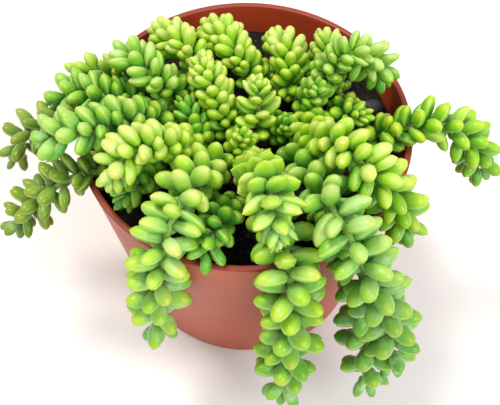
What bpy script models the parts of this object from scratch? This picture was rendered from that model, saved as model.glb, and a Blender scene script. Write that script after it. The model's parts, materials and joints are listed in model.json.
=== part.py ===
"""Potted sedum: leafy stems growing in a round plastic flower pot.

A turned pot of terracotta-coloured plastic holds a block of potting soil. Leafy stems stand in plain
holes in the soil, rise from it, and arch or trail over the rim. Each stem is one closed body: a slim
core with plump leaves fused to it in a golden-angle spiral. A leaf that would touch another stem, the
pot or the soil is bent clear of it.

Units are metres, +Z is up, and the origin is the centre of the pot's underside.
"""

import math
import random
from dataclasses import dataclass

import bmesh
import bpy
import numpy as np
from mathutils import Matrix, Vector, noise
from mathutils.bvhtree import BVHTree

MM = 0.001
# Corners closer than this are one corner
WELD = 0.01 * MM

# Pot
POT_HEIGHT = 110 * MM
RIM_RADIUS = 70 * MM
BASE_RADIUS = 54 * MM
WALL = 1.8 * MM
FLOOR = 2.2 * MM
LIP_WIDTH = 2.8 * MM
LIP_HEIGHT = 4 * MM
LIP_BLEND = 5 * MM
LIP_ROUNDING = 0.8 * MM
FOOT_ROUNDING = 1.2 * MM
TURN_STEPS = 44
DRAIN_HOLES = 4
DRAIN_RADIUS = 4 * MM
DRAIN_CIRCLE = 32 * MM
DRAIN_SIDES = 8

# Soil
FIT_GAP = 0.3 * MM
SOIL_LEVEL = 95 * MM
SOIL_MOUND = 1.5 * MM
SOIL_RELIEF = 1.2 * MM
# The soil is turned this much higher than its level, and all above its surface is then cut away
SOIL_EXCESS = 8 * MM
AIR_DEPTH = 30 * MM
CRUMB_PITCH = 11 * MM
RELIEF_CELLS = 11
STEM_HOLE_RADIUS = 2.7 * MM
STEM_HOLE_DEPTH = 12 * MM
STEM_HOLE_SIDES = 6
STEM_HOLE_TOP = SOIL_LEVEL + 10 * MM
# Centre (x, y), radius and height above the soil of the two stones that lie in it, in mm
STONES = (((60, 21), 6, 4.5), ((59, -6), 5, 3.5))

# Stems and leaves
STEM_RADIUS = 1.7 * MM
STEM_STEP = 13 * MM
BARE_TAPER = 0.3
CORE_SWELL = 9 * MM
# Radius of the core of a densely leaved stem, and its taper at the tip, as shares of the leaf's length
DENSE_CORE = 0.21
CORE_TIP = 0.45
ROOT_DEPTH = 10 * MM
BARE_FOOT = 7 * MM
LEAF_SIDES = 4
# Distance along the stem from one leaf to the next, for leaves 14 mm long; shorter leaves sit closer
LEAF_PITCH = 4.7 * MM
LEAF_PITCH_SPARSE = 5.1 * MM
PITCH_LEAF = 14
PITCH_POWER = 0.7
LEAF_CLEARANCE = 0.5 * MM
GOLDEN_ANGLE = math.radians(137.5)
# A leaf that lies along its stem to within this share of its length takes its flat side from its turn
ALIGNED = 0.001
# Place along the leaf and half width there, both as a share of the leaf's length
LEAF_SHOULDER = (0.42, 0.40)
LEAF_CROWN = (0.78, 0.35)
LEAF_THICKNESS = 0.82
LEAF_TIP_LIFT = 0.06
# Angle between a leaf and its stem, at the foot of the stem and at its tip, and how far leaves turn up
LEAF_SPREAD_FOOT = math.radians(74)
LEAF_SPREAD_TIP = math.radians(20)
LIGHT_SEEKING = 0.45
# The last share of a stem is its tip, where the leaves close up and shrink to a bud
TIP_SHARE = 0.22
TIP_LEAF_SIZE = 0.5
TIP_POWER = 1.5
SPREAD_ALONG = 0.25
FOOT_LEAF_SIZE = 0.8
SIZE_RANGE = (0.93, 1.05)
TURN_RANGE = math.radians(9)
SEED = 11
# Ways to bend a leaf clear: change of spread and turn round the stem in degrees, and share of its size
BENDS = (
    (0, 0, 1.0),
    (0, 16, 1.0),
    (0, -16, 1.0),
    (-14, 0, 1.0),
    (12, 0, 1.0),
    (0, 30, 0.95),
    (0, -30, 0.95),
    (-26, 0, 0.95),
    (-14, 22, 0.9),
    (-14, -22, 0.9),
    (0, 0, 0.8),
    (-20, 30, 0.8),
    (-20, -30, 0.8),
    (0, 45, 0.75),
    (0, -45, 0.75),
    (-30, 0, 0.72),
    (0, 0, 0.62),
)

# Surfaces: name, colour as linear red, green and blue, and roughness
POT_FINISH = ("terracotta_plastic", (0.50, 0.15, 0.10), 0.45)
SOIL_FINISH = ("potting_soil", (0.020, 0.013, 0.009), 0.95)
LEAF_FINISHES = {
    "bright": ("leaf_bright", (0.50, 0.72, 0.06), 0.40),
    "green": ("leaf_green", (0.25, 0.53, 0.06), 0.42),
    "olive": ("leaf_olive", (0.19, 0.36, 0.04), 0.45),
}


@dataclass(frozen=True)
class Stem:
    """One leafy stem. The route runs from the foot in the soil to the tip, in mm."""

    name: str
    tone: str
    leaf_length: float
    foot: tuple
    route: tuple
    dense: bool = True


# The stems, those seen best first: a later stem's leaves give way to those of an earlier one.
STEMS = (
    Stem("stem_front_left_trailer", "bright", 14.3, (-13, -17), (
        (-17, -33, 120), (-23, -49, 130), (-28, -61, 127), (-32, -68, 113),
        (-35, -69, 84), (-37, -70, 60),
    )),
    Stem("stem_front_arch", "bright", 14.9, (4, -21), (
        (5, -32, 118), (6, -44, 134), (9, -57, 142), (12, -70, 135),
    )),
    Stem("stem_front_trailer", "bright", 15.1, (11, -29), (
        (13, -50, 112), (16, -69, 117), (18, -78, 93), (18, -80, 62),
        (16, -85, 28),
    )),
    Stem("stem_front_right_trailer", "green", 14.5, (24, -11), (
        (28, -44, 127), (33, -59, 134), (39, -67, 128), (44, -71, 117),
        (51, -72, 100), (57, -74, 80), (61, -77, 60), (63, -80, 46),
    )),
    Stem("stem_right_arch", "bright", 12.9, (27, 7), (
        (30, -21, 124), (36, -33, 139), (44, -41, 139), (52, -42, 128),
        (61, -41, 110), (65, -42, 93),
    )),
    Stem("stem_front_left_arch", "bright", 12.5, (-24, -7), (
        (-28, -19, 120), (-34, -27, 132), (-40, -32, 137), (-47, -36, 134),
        (-51, -40, 127),
    )),
    Stem("stem_left_main", "green", 12.9, (-34, 7), (
        (-40, -5, 119), (-51, -15, 131), (-62, -22, 133), (-73, -22, 131),
        (-80, -20, 125),
    )),
    Stem("stem_upper_right", "green", 11.5, (38, 27), (
        (34, 17, 118), (36, 12, 134), (41, 12, 140), (50, 14, 134),
        (58, 18, 119),
    )),
    Stem("stem_far_right", "bright", 12.5, (46, 3), (
        (54, -4, 107), (64, -7, 116), (73, -8, 120), (84, -8, 117),
        (95, -8, 106), (101, -8, 86),
    )),
    Stem("stem_left_low", "olive", 12.3, (-46, -13), (
        (-55, -21, 106), (-64, -27, 113), (-73, -29, 110), (-84, -29, 97),
        (-93, -28, 85), (-100, -28, 75),
    ), dense=False),
    Stem("stem_left_back", "green", 12.3, (-27, 22), (
        (-31, 11, 119), (-38, 9, 131), (-45, 14, 134), (-50, 21, 128),
    )),
    Stem("stem_centre_left", "bright", 12.7, (-6, 0), (
        (-8, 0, 112), (-12, 3, 126), (-17, 8, 137),
    )),
    Stem("stem_back_left", "bright", 11.7, (-18, 30), (
        (-19, 22, 118), (-25, 25, 129), (-31, 32, 126), (-37, 41, 119),
    )),
    Stem("stem_back_centre_left", "bright", 12.1, (5, 32), (
        (3, 24, 113), (-3, 26, 122), (-8, 34, 123), (-15, 45, 117),
    )),
    Stem("stem_back_centre_right", "bright", 12.3, (21, 28), (
        (19, 19, 114), (18, 25, 123), (13, 36, 121),
    )),
    Stem("stem_back_right", "bright", 11.7, (31, 38), (
        (34, 32, 111), (35, 33, 120), (34, 38, 120),
    )),
    Stem("stem_left_upper", "green", 11.9, (-38, 16), (
        (-48, 9, 114), (-59, 6, 121), (-69, 8, 120), (-80, 12, 110),
    )),
    Stem("stem_far_left_back", "bright", 11.3, (-37, 27), (
        (-47, 23, 112), (-57, 22, 116), (-65, 22, 115.5), (-74, 26, 106),
    )),
    Stem("stem_inner_trailer", "green", 14.3, (30, -20), (
        (34, -46, 112), (39, -58.5, 116), (46, -66, 96), (50, -72, 74),
        (52, -77, 49), (53, -83, 30),
    )),
    Stem("stem_left_under", "olive", 12.1, (-46, 4), (
        (-59, -1, 107), (-70, -2, 115), (-86, 1, 107), (-97, 3, 93),
        (-103, 3, 81),
    ), dense=False),
    Stem("stem_front_left_small", "green", 11.7, (-37, -20), (
        (-39, -26, 108), (-43, -33, 115), (-47, -39, 112),
    )),
    Stem("stem_centre_upright", "bright", 13.5, (5, -3), (
        (5, -4, 115), (5, 1, 133),
    ), dense=False),
    Stem("stem_centre_front_small", "green", 12.1, (-8, -29), (
        (-9, -43, 109), (-10, -53, 117), (-13, -61, 118), (-17, -65, 110),
    )),
    Stem("stem_centre_right_tuft", "green", 12.3, (24, 18), (
        (27, 10, 112), (29, 6, 126),
    )),
    Stem("stem_right_tuft", "bright", 12.1, (44, 14), (
        (42, 7, 107), (43, 1, 115), (47, -2, 119),
    )),
    Stem("stem_centre_tuft", "green", 12.1, (15, 5), (
        (16, -4, 110), (17, -9, 120),
    )),
    Stem("stem_centre_low_left", "green", 12.5, (-15, -2), (
        (-18, -5, 107), (-21, -4, 114), (-24, 1, 120),
    )),
    Stem("stem_centre_front_tuft", "bright", 11.7, (-3, -9), (
        (-2, -12, 108), (-1, -15, 120),
    )),
)


def clear_scene():
    """Remove every object that the scene starts with."""
    for item in list(bpy.data.objects):
        bpy.data.objects.remove(item, do_unlink=True)


def new_collection(name):
    """Return a new collection linked to the scene."""
    collection = bpy.data.collections.new(name)
    bpy.context.scene.collection.children.link(collection)
    return collection


def finish(name, colour, roughness):
    """Return the Principled material of that name, made on first use."""
    material = bpy.data.materials.get(name)
    if material is None:
        material = bpy.data.materials.new(name)
        material.use_nodes = True
        shader = material.node_tree.nodes["Principled BSDF"]
        shader.inputs["Base Color"].default_value = (*colour, 1.0)
        shader.inputs["Roughness"].default_value = roughness
        shader.inputs["Metallic"].default_value = 0.0
        material.diffuse_color = (*colour, 1.0)
    return material


def add_object(name, data, collection):
    """Link a new object that shows the mesh or curve."""
    item = bpy.data.objects.new(name, data)
    collection.objects.link(item)
    return item


def evaluated_mesh(item):
    """Return a new mesh of the object with its modifiers applied."""
    graph = bpy.context.evaluated_depsgraph_get()
    return bpy.data.meshes.new_from_object(item.evaluated_get(graph))


def turned(name, profile, collection):
    """Turn a profile of (radius, height) points about the Z axis into a closed solid."""
    mesh = bpy.data.meshes.new(name)
    edges = [(i, i + 1) for i in range(len(profile) - 1)]
    mesh.from_pydata([(radius, 0.0, height) for radius, height in profile], edges, [])
    item = add_object(name, mesh, collection)
    screw = item.modifiers.new("turn", "SCREW")
    screw.steps = TURN_STEPS
    screw.render_steps = TURN_STEPS
    screw.use_merge_vertices = True
    screw.merge_threshold = WELD
    return item


def drilled(item, cutter):
    """Cut the closed cutter out of the object."""
    cut = item.modifiers.new(cutter.name, "BOOLEAN")
    cut.operation = "DIFFERENCE"
    cut.object = cutter
    cutter.hide_render = True
    cutter.display_type = "WIRE"


def upright_pins(name, spots, radius, low, high, sides, collection):
    """Return one cutter of upright pins, one at each (x, y) spot."""
    pins = bmesh.new()
    for x, y in spots:
        place = Matrix.Translation((x, y, (low + high) / 2))
        bmesh.ops.create_cone(pins, cap_ends=True, segments=sides, radius1=radius, radius2=radius,
                              depth=high - low, matrix=place)
    mesh = bpy.data.meshes.new(name)
    pins.to_mesh(mesh)
    pins.free()
    return add_object(name, mesh, collection)


def wall_radius(height):
    """Outer radius of the pot's tapered wall at that height."""
    return BASE_RADIUS + (RIM_RADIUS - BASE_RADIUS) * height / POT_HEIGHT


def make_pot(parts, cutters):
    """A tapered pot with a thickened lip and drain holes in its flat floor."""
    lip_inside = RIM_RADIUS - LIP_WIDTH
    lip_foot = POT_HEIGHT - LIP_HEIGHT
    blend_foot = lip_foot - LIP_BLEND
    floor_corner = FLOOR + FOOT_ROUNDING
    profile = [
        (0.0, FLOOR),
        (wall_radius(FLOOR) - WALL - FOOT_ROUNDING, FLOOR),
        (wall_radius(floor_corner) - WALL, floor_corner),
        (wall_radius(blend_foot) - WALL, blend_foot),
        (lip_inside, lip_foot),
        (lip_inside, POT_HEIGHT - LIP_ROUNDING),
        (lip_inside + LIP_ROUNDING, POT_HEIGHT),
        (RIM_RADIUS - LIP_ROUNDING, POT_HEIGHT),
        (RIM_RADIUS, POT_HEIGHT - LIP_ROUNDING),
        (wall_radius(FOOT_ROUNDING), FOOT_ROUNDING),
        (BASE_RADIUS - FOOT_ROUNDING, 0.0),
        (0.0, 0.0),
    ]
    pot = turned("pot", profile, parts)
    turns = [2 * math.pi * (i + 0.5) / DRAIN_HOLES for i in range(DRAIN_HOLES)]
    spots = [(DRAIN_CIRCLE * math.cos(turn), DRAIN_CIRCLE * math.sin(turn)) for turn in turns]
    drilled(pot, upright_pins("drain_pins", spots, DRAIN_RADIUS, -FLOOR, 2 * FLOOR, DRAIN_SIDES, cutters))
    pot.data.materials.append(finish(*POT_FINISH))
    return pot


def soil_height(x, y):
    """Height of the soil's surface: a low mound with crumbs and two half-sunk stones."""
    reach = math.hypot(x, y) / RIM_RADIUS
    height = SOIL_LEVEL + SOIL_MOUND * (1 - reach * reach)
    height += SOIL_RELIEF * noise.noise(Vector((x / CRUMB_PITCH, y / CRUMB_PITCH, 0.5)))
    for (stone_x, stone_y), radius, rise in STONES:
        away = math.hypot(x - stone_x * MM, y - stone_y * MM) / (radius * MM)
        if away < 1:
            height += rise * MM * math.sqrt(1 - away * away)
    return height


def make_soil(parts, cutters):
    """Potting soil that fills the pot, uneven on top, with a plain hole for each stem."""
    low = FLOOR + FIT_GAP
    high = SOIL_LEVEL + SOIL_EXCESS
    low_radius = wall_radius(low) - WALL - FOOT_ROUNDING - FIT_GAP
    knee = FLOOR + FOOT_ROUNDING + FIT_GAP
    crest = POT_HEIGHT - LIP_HEIGHT - LIP_BLEND
    top_radius = wall_radius(crest) - WALL - FIT_GAP
    profile = [
        (0.0, high),
        (top_radius, high),
        (top_radius, crest),
        (wall_radius(knee) - WALL - FIT_GAP, knee),
        (low_radius, low),
        (0.0, low),
    ]
    soil = turned("soil", profile, parts)

    air = bmesh.new()
    bmesh.ops.create_grid(air, x_segments=RELIEF_CELLS, y_segments=RELIEF_CELLS, size=RIM_RADIUS)
    for corner in air.verts:
        corner.co.z = soil_height(corner.co.x, corner.co.y)
    mesh = bpy.data.meshes.new("air_over_soil")
    air.to_mesh(mesh)
    air.free()
    above = add_object("air_over_soil", mesh, cutters)
    thicken = above.modifiers.new("thicken", "SOLIDIFY")
    thicken.thickness = AIR_DEPTH
    thicken.offset = 1.0
    drilled(soil, above)

    spots = [(stem.foot[0] * MM, stem.foot[1] * MM) for stem in STEMS]
    pins = upright_pins("stem_pins", spots, STEM_HOLE_RADIUS, SOIL_LEVEL - STEM_HOLE_DEPTH,
                        STEM_HOLE_TOP, STEM_HOLE_SIDES, cutters)
    drilled(soil, pins)
    soil.data.materials.append(finish(*SOIL_FINISH))
    return soil


def smooth_route(points, step):
    """Return points about a step apart on a smooth curve through the given ones."""
    knots = np.array(points, float)
    spans = np.linalg.norm(np.diff(knots, axis=0), axis=1)
    chords = np.diff(knots, axis=0) / spans[:, None]
    before, after = spans[:-1, None], spans[1:, None]
    slopes = (chords[1:] * before + chords[:-1] * after) / (before + after)
    slopes = np.concatenate([chords[:1], slopes, chords[-1:]])
    curve = []
    for start, end, leave, arrive, span in zip(knots, knots[1:], slopes, slopes[1:], spans):
        for t in np.linspace(0.0, 1.0, 16, endpoint=False):
            rise = t * t * (3 - 2 * t)
            bend = span * (leave * t * (1 - t) ** 2 - arrive * t * t * (1 - t))
            curve.append(start * (1 - rise) + end * rise + bend)
    curve.append(knots[-1])
    curve = np.array(curve)
    reach = np.concatenate([[0.0], np.cumsum(np.linalg.norm(np.diff(curve, axis=0), axis=1))])
    even = np.linspace(0.0, reach[-1], max(2, round(reach[-1] / step) + 1))
    return np.stack([np.interp(even, reach, curve[:, axis]) for axis in range(3)], axis=1)


def stem_knots(stem):
    """Return the stem's route in metres, with a straight upright foot in its hole."""
    x, y = (value * MM for value in stem.foot)
    foot = [(x, y, SOIL_LEVEL + lift) for lift in (-ROOT_DEPTH, -2 * MM, 3 * MM)]
    return foot + [tuple(value * MM for value in point) for point in stem.route]


def core_radius(stem, share, length):
    """Radius of the stem's core at a share of its length: bare at the foot, thicker among the leaves."""
    if not stem.dense:
        return STEM_RADIUS * (1 - BARE_TAPER * share)
    full = DENSE_CORE * stem.leaf_length * MM
    swell = min(1.0, max(0.0, (share * length - ROOT_DEPTH - BARE_FOOT / 2) / CORE_SWELL))
    taper = min(1.0, (1 - share) / TIP_SHARE)
    return (STEM_RADIUS + (full - STEM_RADIUS) * swell) * (CORE_TIP + (1 - CORE_TIP) * taper)


def make_core(stem, parts):
    """Return the core that the stem's leaves stand out of, a tapered tube, as a welded mesh."""
    points = smooth_route(stem_knots(stem), STEM_STEP)
    length = STEM_STEP * (len(points) - 1)
    curve = bpy.data.curves.new(stem.name, "CURVE")
    curve.dimensions = "3D"
    curve.bevel_depth = STEM_RADIUS
    curve.bevel_resolution = 0
    curve.use_fill_caps = True
    spline = curve.splines.new("POLY")
    spline.points.add(len(points) - 1)
    for i, (knot, point) in enumerate(zip(spline.points, points)):
        knot.co = (*point, 1.0)
        knot.radius = core_radius(stem, i / (len(points) - 1), length) / STEM_RADIUS
    tube = add_object(f"{stem.name}_tube", curve, parts)
    mesh = evaluated_mesh(tube)
    welded = bmesh.new()
    welded.from_mesh(mesh)
    bmesh.ops.remove_doubles(welded, verts=welded.verts, dist=WELD)
    welded.to_mesh(mesh)
    welded.free()
    core = add_object(stem.name, mesh, parts)
    core.matrix_world = tube.matrix_world.copy()
    bpy.data.objects.remove(tube)
    return core


def make_leaf_mesh(name, grown):
    """Return a leaf of unit length, root at the origin and tip at +Z, grown all round by a share."""
    shape = bmesh.new()
    bmesh.ops.create_uvsphere(shape, u_segments=LEAF_SIDES, v_segments=3, radius=1.0)
    for corner in shape.verts:
        if abs(corner.co.z) > 0.9:
            place, width = (1.0 + grown, 0.0) if corner.co.z > 0 else (0.0, 0.0)
        else:
            place, width = LEAF_CROWN if corner.co.z > 0 else LEAF_SHOULDER
            width += grown
        around = Vector((corner.co.x, corner.co.y)).normalized() if width else Vector((0.0, 0.0))
        lift = LEAF_TIP_LIFT * place**2
        corner.co = (around.x * width, around.y * width * LEAF_THICKNESS + lift, place)
    mesh = bpy.data.meshes.new(name)
    shape.to_mesh(mesh)
    shape.free()
    return mesh


def mesh_arrays(mesh, place=None):
    """Return a mesh's corners, moved by a matrix, and its faces, as the clearance test reads them."""
    corners = [place @ corner.co if place else corner.co.copy() for corner in mesh.vertices]
    return corners, [tuple(face.vertices) for face in mesh.polygons]


class Obstacle:
    """A solid that leaves keep clear of, and the stem that it belongs to."""

    def __init__(self, owner, corners, faces):
        self.owner = owner
        self.tree = BVHTree.FromPolygons(corners, faces)
        self.low = np.min(corners, axis=0)
        self.high = np.max(corners, axis=0)

    def meets(self, other):
        """Say whether the surfaces of two solids cross."""
        if (self.low > other.high).any() or (other.low > self.high).any():
            return False
        return bool(self.tree.overlap(other.tree))


def leaf_slots(stem):
    """Yield each leaf's root, stem direction, side direction, turn, spread, length and upturn."""
    fine = smooth_route(stem_knots(stem), 1 * MM)
    ahead = np.gradient(fine, axis=0)
    ahead /= np.linalg.norm(ahead, axis=1)[:, None]
    chance = random.Random(f"{stem.name}{SEED}")
    first = round((ROOT_DEPTH + BARE_FOOT) / MM)
    last = len(fine) - 2
    pitch = (LEAF_PITCH if stem.dense else LEAF_PITCH_SPARSE) / MM
    pitch *= (stem.leaf_length / PITCH_LEAF) ** PITCH_POWER
    count = max(3, round((last - first) / pitch))
    side = Vector((1.0, 0.0, 0.0))
    walked = 0
    for i in range(count + 1):
        share = i / count
        spot = round(first + (last - first) * share)
        for step in range(walked, spot + 1):
            tangent = Vector(ahead[step])
            side = (side - tangent * side.dot(tangent)).normalized()
        walked = spot
        near_tip = max(0.0, (share - 1 + TIP_SHARE) / TIP_SHARE) ** TIP_POWER
        closing = SPREAD_ALONG * share + (1 - SPREAD_ALONG) * near_tip
        spread = LEAF_SPREAD_FOOT + (LEAF_SPREAD_TIP - LEAF_SPREAD_FOOT) * closing
        size = stem.leaf_length * MM * (1 - (1 - TIP_LEAF_SIZE) * near_tip)
        size *= min(1.0, FOOT_LEAF_SIZE + share) * chance.uniform(*SIZE_RANGE)
        turn = i * GOLDEN_ANGLE + chance.uniform(-TURN_RANGE, TURN_RANGE)
        upturn = LIGHT_SEEKING * (1 - near_tip)
        if i == count:
            spread = 0.0
        yield Vector(fine[spot]), tangent, side.copy(), turn, spread, size, upturn


def leaf_place(root, tangent, side, turn, spread, size, upturn):
    """Return the matrix that puts the unit leaf on its stem, its flat side towards the tip."""
    outward = Matrix.Rotation(turn, 3, tangent) @ side
    axis = tangent * math.cos(spread) + outward * math.sin(spread)
    axis.z += upturn
    axis.normalize()
    face = tangent - axis * axis.dot(tangent)
    if face.length < ALIGNED:
        face = -outward
    face.normalize()
    turned_to = Matrix((face.cross(axis), face, axis)).transposed().to_4x4()
    return Matrix.Translation(root) @ turned_to @ Matrix.Scale(size, 4)


def grow_leaves(stem, obstacles, leaf_mesh, leaves):
    """Add the stem's leaves to a collection, each bent or shortened until it clears the obstacles."""
    grown_mesh = make_leaf_mesh("leaf_with_clearance", LEAF_CLEARANCE / (stem.leaf_length * MM))
    others = [solid for solid in obstacles if solid.owner != stem.name]
    placed = []
    for root, tangent, side, turn, spread, length, upturn in leaf_slots(stem):
        for more_spread, more_turn, share in BENDS:
            angle = max(0.0, spread + math.radians(more_spread))
            aside = turn + math.radians(more_turn)
            place = leaf_place(root, tangent, side, aside, angle, length * share, upturn)
            probe = Obstacle(stem.name, *mesh_arrays(grown_mesh, place))
            if not any(probe.meets(solid) for solid in others):
                leaf = add_object(f"{stem.name}_leaf", leaf_mesh, leaves)
                leaf.matrix_world = place
                placed.append(place)
                break
    bpy.data.meshes.remove(grown_mesh)
    corners, faces = [], []
    for place in placed:
        more_corners, more_faces = mesh_arrays(leaf_mesh, place)
        faces += [tuple(index + len(corners) for index in face) for face in more_faces]
        corners += more_corners
    obstacles.append(Obstacle(stem.name, corners, faces))


def keep_outer_shell(mesh):
    """Delete loose scraps and the walls of sealed hollows, so that one closed body is left."""
    body = bmesh.new()
    body.from_mesh(mesh)
    shells, seen = [], set()
    for start in body.faces:
        if start in seen:
            continue
        seen.add(start)
        shell, edge_of_it = [], [start]
        while edge_of_it:
            face = edge_of_it.pop()
            shell.append(face)
            for edge in face.edges:
                for neighbour in edge.link_faces:
                    if neighbour not in seen:
                        seen.add(neighbour)
                        edge_of_it.append(neighbour)
        shells.append(shell)
    shells.sort(key=len)
    doomed = {corner for shell in shells[:-1] for face in shell for corner in face.verts}
    bmesh.ops.delete(body, geom=list(doomed), context="VERTS")
    body.to_mesh(mesh)
    body.free()


def make_stem(stem, core, obstacles, leaf_mesh):
    """Grow the stem's leaves and fuse them to its core with one union."""
    leaves = new_collection(f"{stem.name}_leaves")
    grow_leaves(stem, obstacles, leaf_mesh, leaves)
    join = core.modifiers.new("leaves", "BOOLEAN")
    join.operation = "UNION"
    join.operand_type = "COLLECTION"
    join.collection = leaves
    mesh = evaluated_mesh(core)
    core.modifiers.remove(join)
    core.data = mesh
    for leaf in list(leaves.objects):
        bpy.data.objects.remove(leaf)
    bpy.data.collections.remove(leaves)
    keep_outer_shell(mesh)
    mesh.materials.clear()
    mesh.materials.append(finish(*LEAF_FINISHES[stem.tone]))


def main():
    """Build the pot, the soil and every leafy stem."""
    clear_scene()
    parts = new_collection("potted_sedum")
    cutters = new_collection("cutters")
    pot = make_pot(parts, cutters)
    soil = make_soil(parts, cutters)
    cores = {stem.name: make_core(stem, parts) for stem in STEMS}
    obstacles = [Obstacle(item.name, *mesh_arrays(evaluated_mesh(item))) for item in (pot, soil)]
    obstacles += [Obstacle(name, *mesh_arrays(core.data)) for name, core in cores.items()]
    leaf_mesh = make_leaf_mesh("leaf", 0.0)
    for stem in STEMS:
        make_stem(stem, cores[stem.name], obstacles, leaf_mesh)
    bpy.data.meshes.remove(leaf_mesh)


if __name__ == "__main__":
    main()
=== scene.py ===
"""Potted sedum: the finished look of a trailing succulent in a moulded plastic pot.

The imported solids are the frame. The turned pot takes the place of its solid, a bed of peat with its crumbs,
fibres and stones takes the place of the soil, and each leafy stem is grown again on its own route, with
more than three times the leaves, smooth and at true size.

Units are metres, +Z is up, and the origin is the centre of the pot's underside.
"""

from __future__ import annotations

import json
import logging
import math
import random
from collections.abc import Iterator, Sequence
from dataclasses import dataclass, field
from enum import Enum

import bmesh
import bpy
import numpy as np
from mathutils import Matrix, Vector, noise
from mathutils.bvhtree import BVHTree

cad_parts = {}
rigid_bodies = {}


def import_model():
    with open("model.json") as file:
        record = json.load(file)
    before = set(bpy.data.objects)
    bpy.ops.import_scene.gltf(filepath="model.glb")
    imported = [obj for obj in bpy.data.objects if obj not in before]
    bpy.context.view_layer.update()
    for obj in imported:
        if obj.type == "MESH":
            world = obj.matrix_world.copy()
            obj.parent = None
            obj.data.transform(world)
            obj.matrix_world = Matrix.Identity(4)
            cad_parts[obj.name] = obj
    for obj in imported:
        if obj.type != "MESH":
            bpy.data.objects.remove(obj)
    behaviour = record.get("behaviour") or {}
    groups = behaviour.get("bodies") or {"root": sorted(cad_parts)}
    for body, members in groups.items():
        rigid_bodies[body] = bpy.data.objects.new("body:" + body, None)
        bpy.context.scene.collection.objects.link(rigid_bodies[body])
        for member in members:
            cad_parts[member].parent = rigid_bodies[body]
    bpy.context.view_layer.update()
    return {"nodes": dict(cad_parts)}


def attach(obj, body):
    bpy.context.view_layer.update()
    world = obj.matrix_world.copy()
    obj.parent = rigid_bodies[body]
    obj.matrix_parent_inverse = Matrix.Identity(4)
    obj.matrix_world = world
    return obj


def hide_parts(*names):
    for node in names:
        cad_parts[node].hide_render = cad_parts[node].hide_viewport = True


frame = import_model()

LOG = logging.getLogger("potted_sedum")
MM = 0.001
BODY = "root"
SEED = 11

# Sizes shared by the pot, the soil and the stems
POT_HEIGHT = 110 * MM
RIM_RADIUS = 70 * MM
BASE_RADIUS = 54 * MM
SOIL_LEVEL = 95 * MM
ROOT_DEPTH = 10 * MM
GOLDEN_ANGLE = math.radians(137.5)

Inputs = dict[str | int, object]
# The corners and faces of a plain shape that stands for a finer one in the tests of what touches what
Cage = tuple[list[Vector], list[tuple[int, ...]]]


def linear(code: str) -> tuple[float, float, float, float]:
    """Turn an sRGB hex colour into linear light.

    Args:
        code: the colour, such as "#C1725B".

    Returns:
        Linear red, green and blue, and an alpha of 1.
    """
    parts = [int(code[i:i + 2], 16) / 255 for i in (1, 3, 5)]
    red, green, blue = (c / 12.92 if c <= 0.04045 else ((c + 0.055) / 1.055) ** 2.4 for c in parts)
    return red, green, blue, 1.0


def add(tree: bpy.types.NodeTree, kind: str, inputs: Inputs | None = None,
        stops: tuple[tuple[float, str], ...] = (), **settings: object) -> bpy.types.Node:
    """Add a node to a tree, with its settings, its values and the links into it.

    Args:
        tree: the tree that gets the node.
        kind: the node's type.
        inputs: for an input's name or number, its value, or the output or the node that feeds it. A node
            feeds it from the first of its outputs that is in use.
        stops: places and hex colours of a colour ramp.
        settings: the node's own properties.

    Returns:
        The new node.
    """
    node = tree.nodes.new(kind)
    for name, value in settings.items():
        setattr(node, name, value)
    for key, value in (inputs or {}).items():
        if isinstance(value, bpy.types.Node):
            value = next(output for output in value.outputs if output.enabled)
        if isinstance(value, bpy.types.NodeSocket):
            tree.links.new(value, node.inputs[key])
        else:
            node.inputs[key].default_value = value
    if stops:
        ramp = node.color_ramp
        while len(ramp.elements) < len(stops):
            ramp.elements.new(1.0)
        for element, (place, colour) in zip(ramp.elements, stops):
            element.position = place
            element.color = linear(colour)
    return node


def surface(name: str) -> tuple[bpy.types.Material, bpy.types.NodeTree]:
    """Make an empty material, named for the real one, and return it and its tree.

    Args:
        name: the real material's name.

    Returns:
        The material and its tree.
    """
    material = bpy.data.materials.new(name)
    material.use_nodes = True
    material.node_tree.nodes.clear()
    return material, material.node_tree


def new_object(name: str, mesh: bpy.types.Mesh) -> bpy.types.Object:
    """Link a new object that shows the mesh, at the origin.

    Args:
        name: the object's name.
        mesh: what it shows.

    Returns:
        The object.
    """
    item = bpy.data.objects.new(name, mesh)
    bpy.context.scene.collection.objects.link(item)
    return item


def mesh_of(body: bmesh.types.BMesh, name: str) -> bpy.types.Mesh:
    """Turn a finished bmesh into a mesh, and free it.

    Args:
        body: the finished bmesh.
        name: the mesh's name.

    Returns:
        The mesh.
    """
    mesh = bpy.data.meshes.new(name)
    body.to_mesh(mesh)
    body.free()
    return mesh


def settle(piece: bpy.types.Object, slot: str, *nodes: str) -> None:
    """Fix a finished piece to the model and report it.

    Args:
        piece: the finished piece.
        slot: not used.
        nodes: the solids that it stands for.
    """
    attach(piece, BODY)
    if nodes:
        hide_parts(*nodes)
    mesh = piece.data
    mesh.calc_loop_triangles()
    LOG.info("%s: %d triangles", piece.name, len(mesh.loop_triangles))


def wall_radius(height: float) -> float:
    """Return the outer radius of the pot's tapered wall at that height."""
    return BASE_RADIUS + (RIM_RADIUS - BASE_RADIUS) * height / POT_HEIGHT


class Tone(Enum):
    """How much sun a stem has had, which sets the colour of its leaves: partly their real sun-grown tone,
    partly painted light and shade.
    """

    BRIGHT = "leaf_bright"
    GREEN = "leaf_green"
    OLIVE = "leaf_olive"


class LeafForm(Enum):
    """How a leaf's outline runs out to its tip."""

    OVAL = "oval"
    BLUNT = "blunt"
    POINTED = "pointed"


@dataclass(frozen=True)
class Stem:
    """One leafy stem. The route runs from the foot in the soil to the tip, in mm."""

    name: str
    tone: Tone
    leaf_length: float
    foot: tuple[float, float]
    route: tuple[tuple[float, float, float], ...]
    pitch: float
    plump: float = 1.0
    thick: float = 1.0
    bare: float = 4
    pale_tip: float = 0.2
    bloom: float = 0.15
    sunlit: float = 0.0
    spread: float = 72
    form: LeafForm = LeafForm.OVAL


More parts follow.
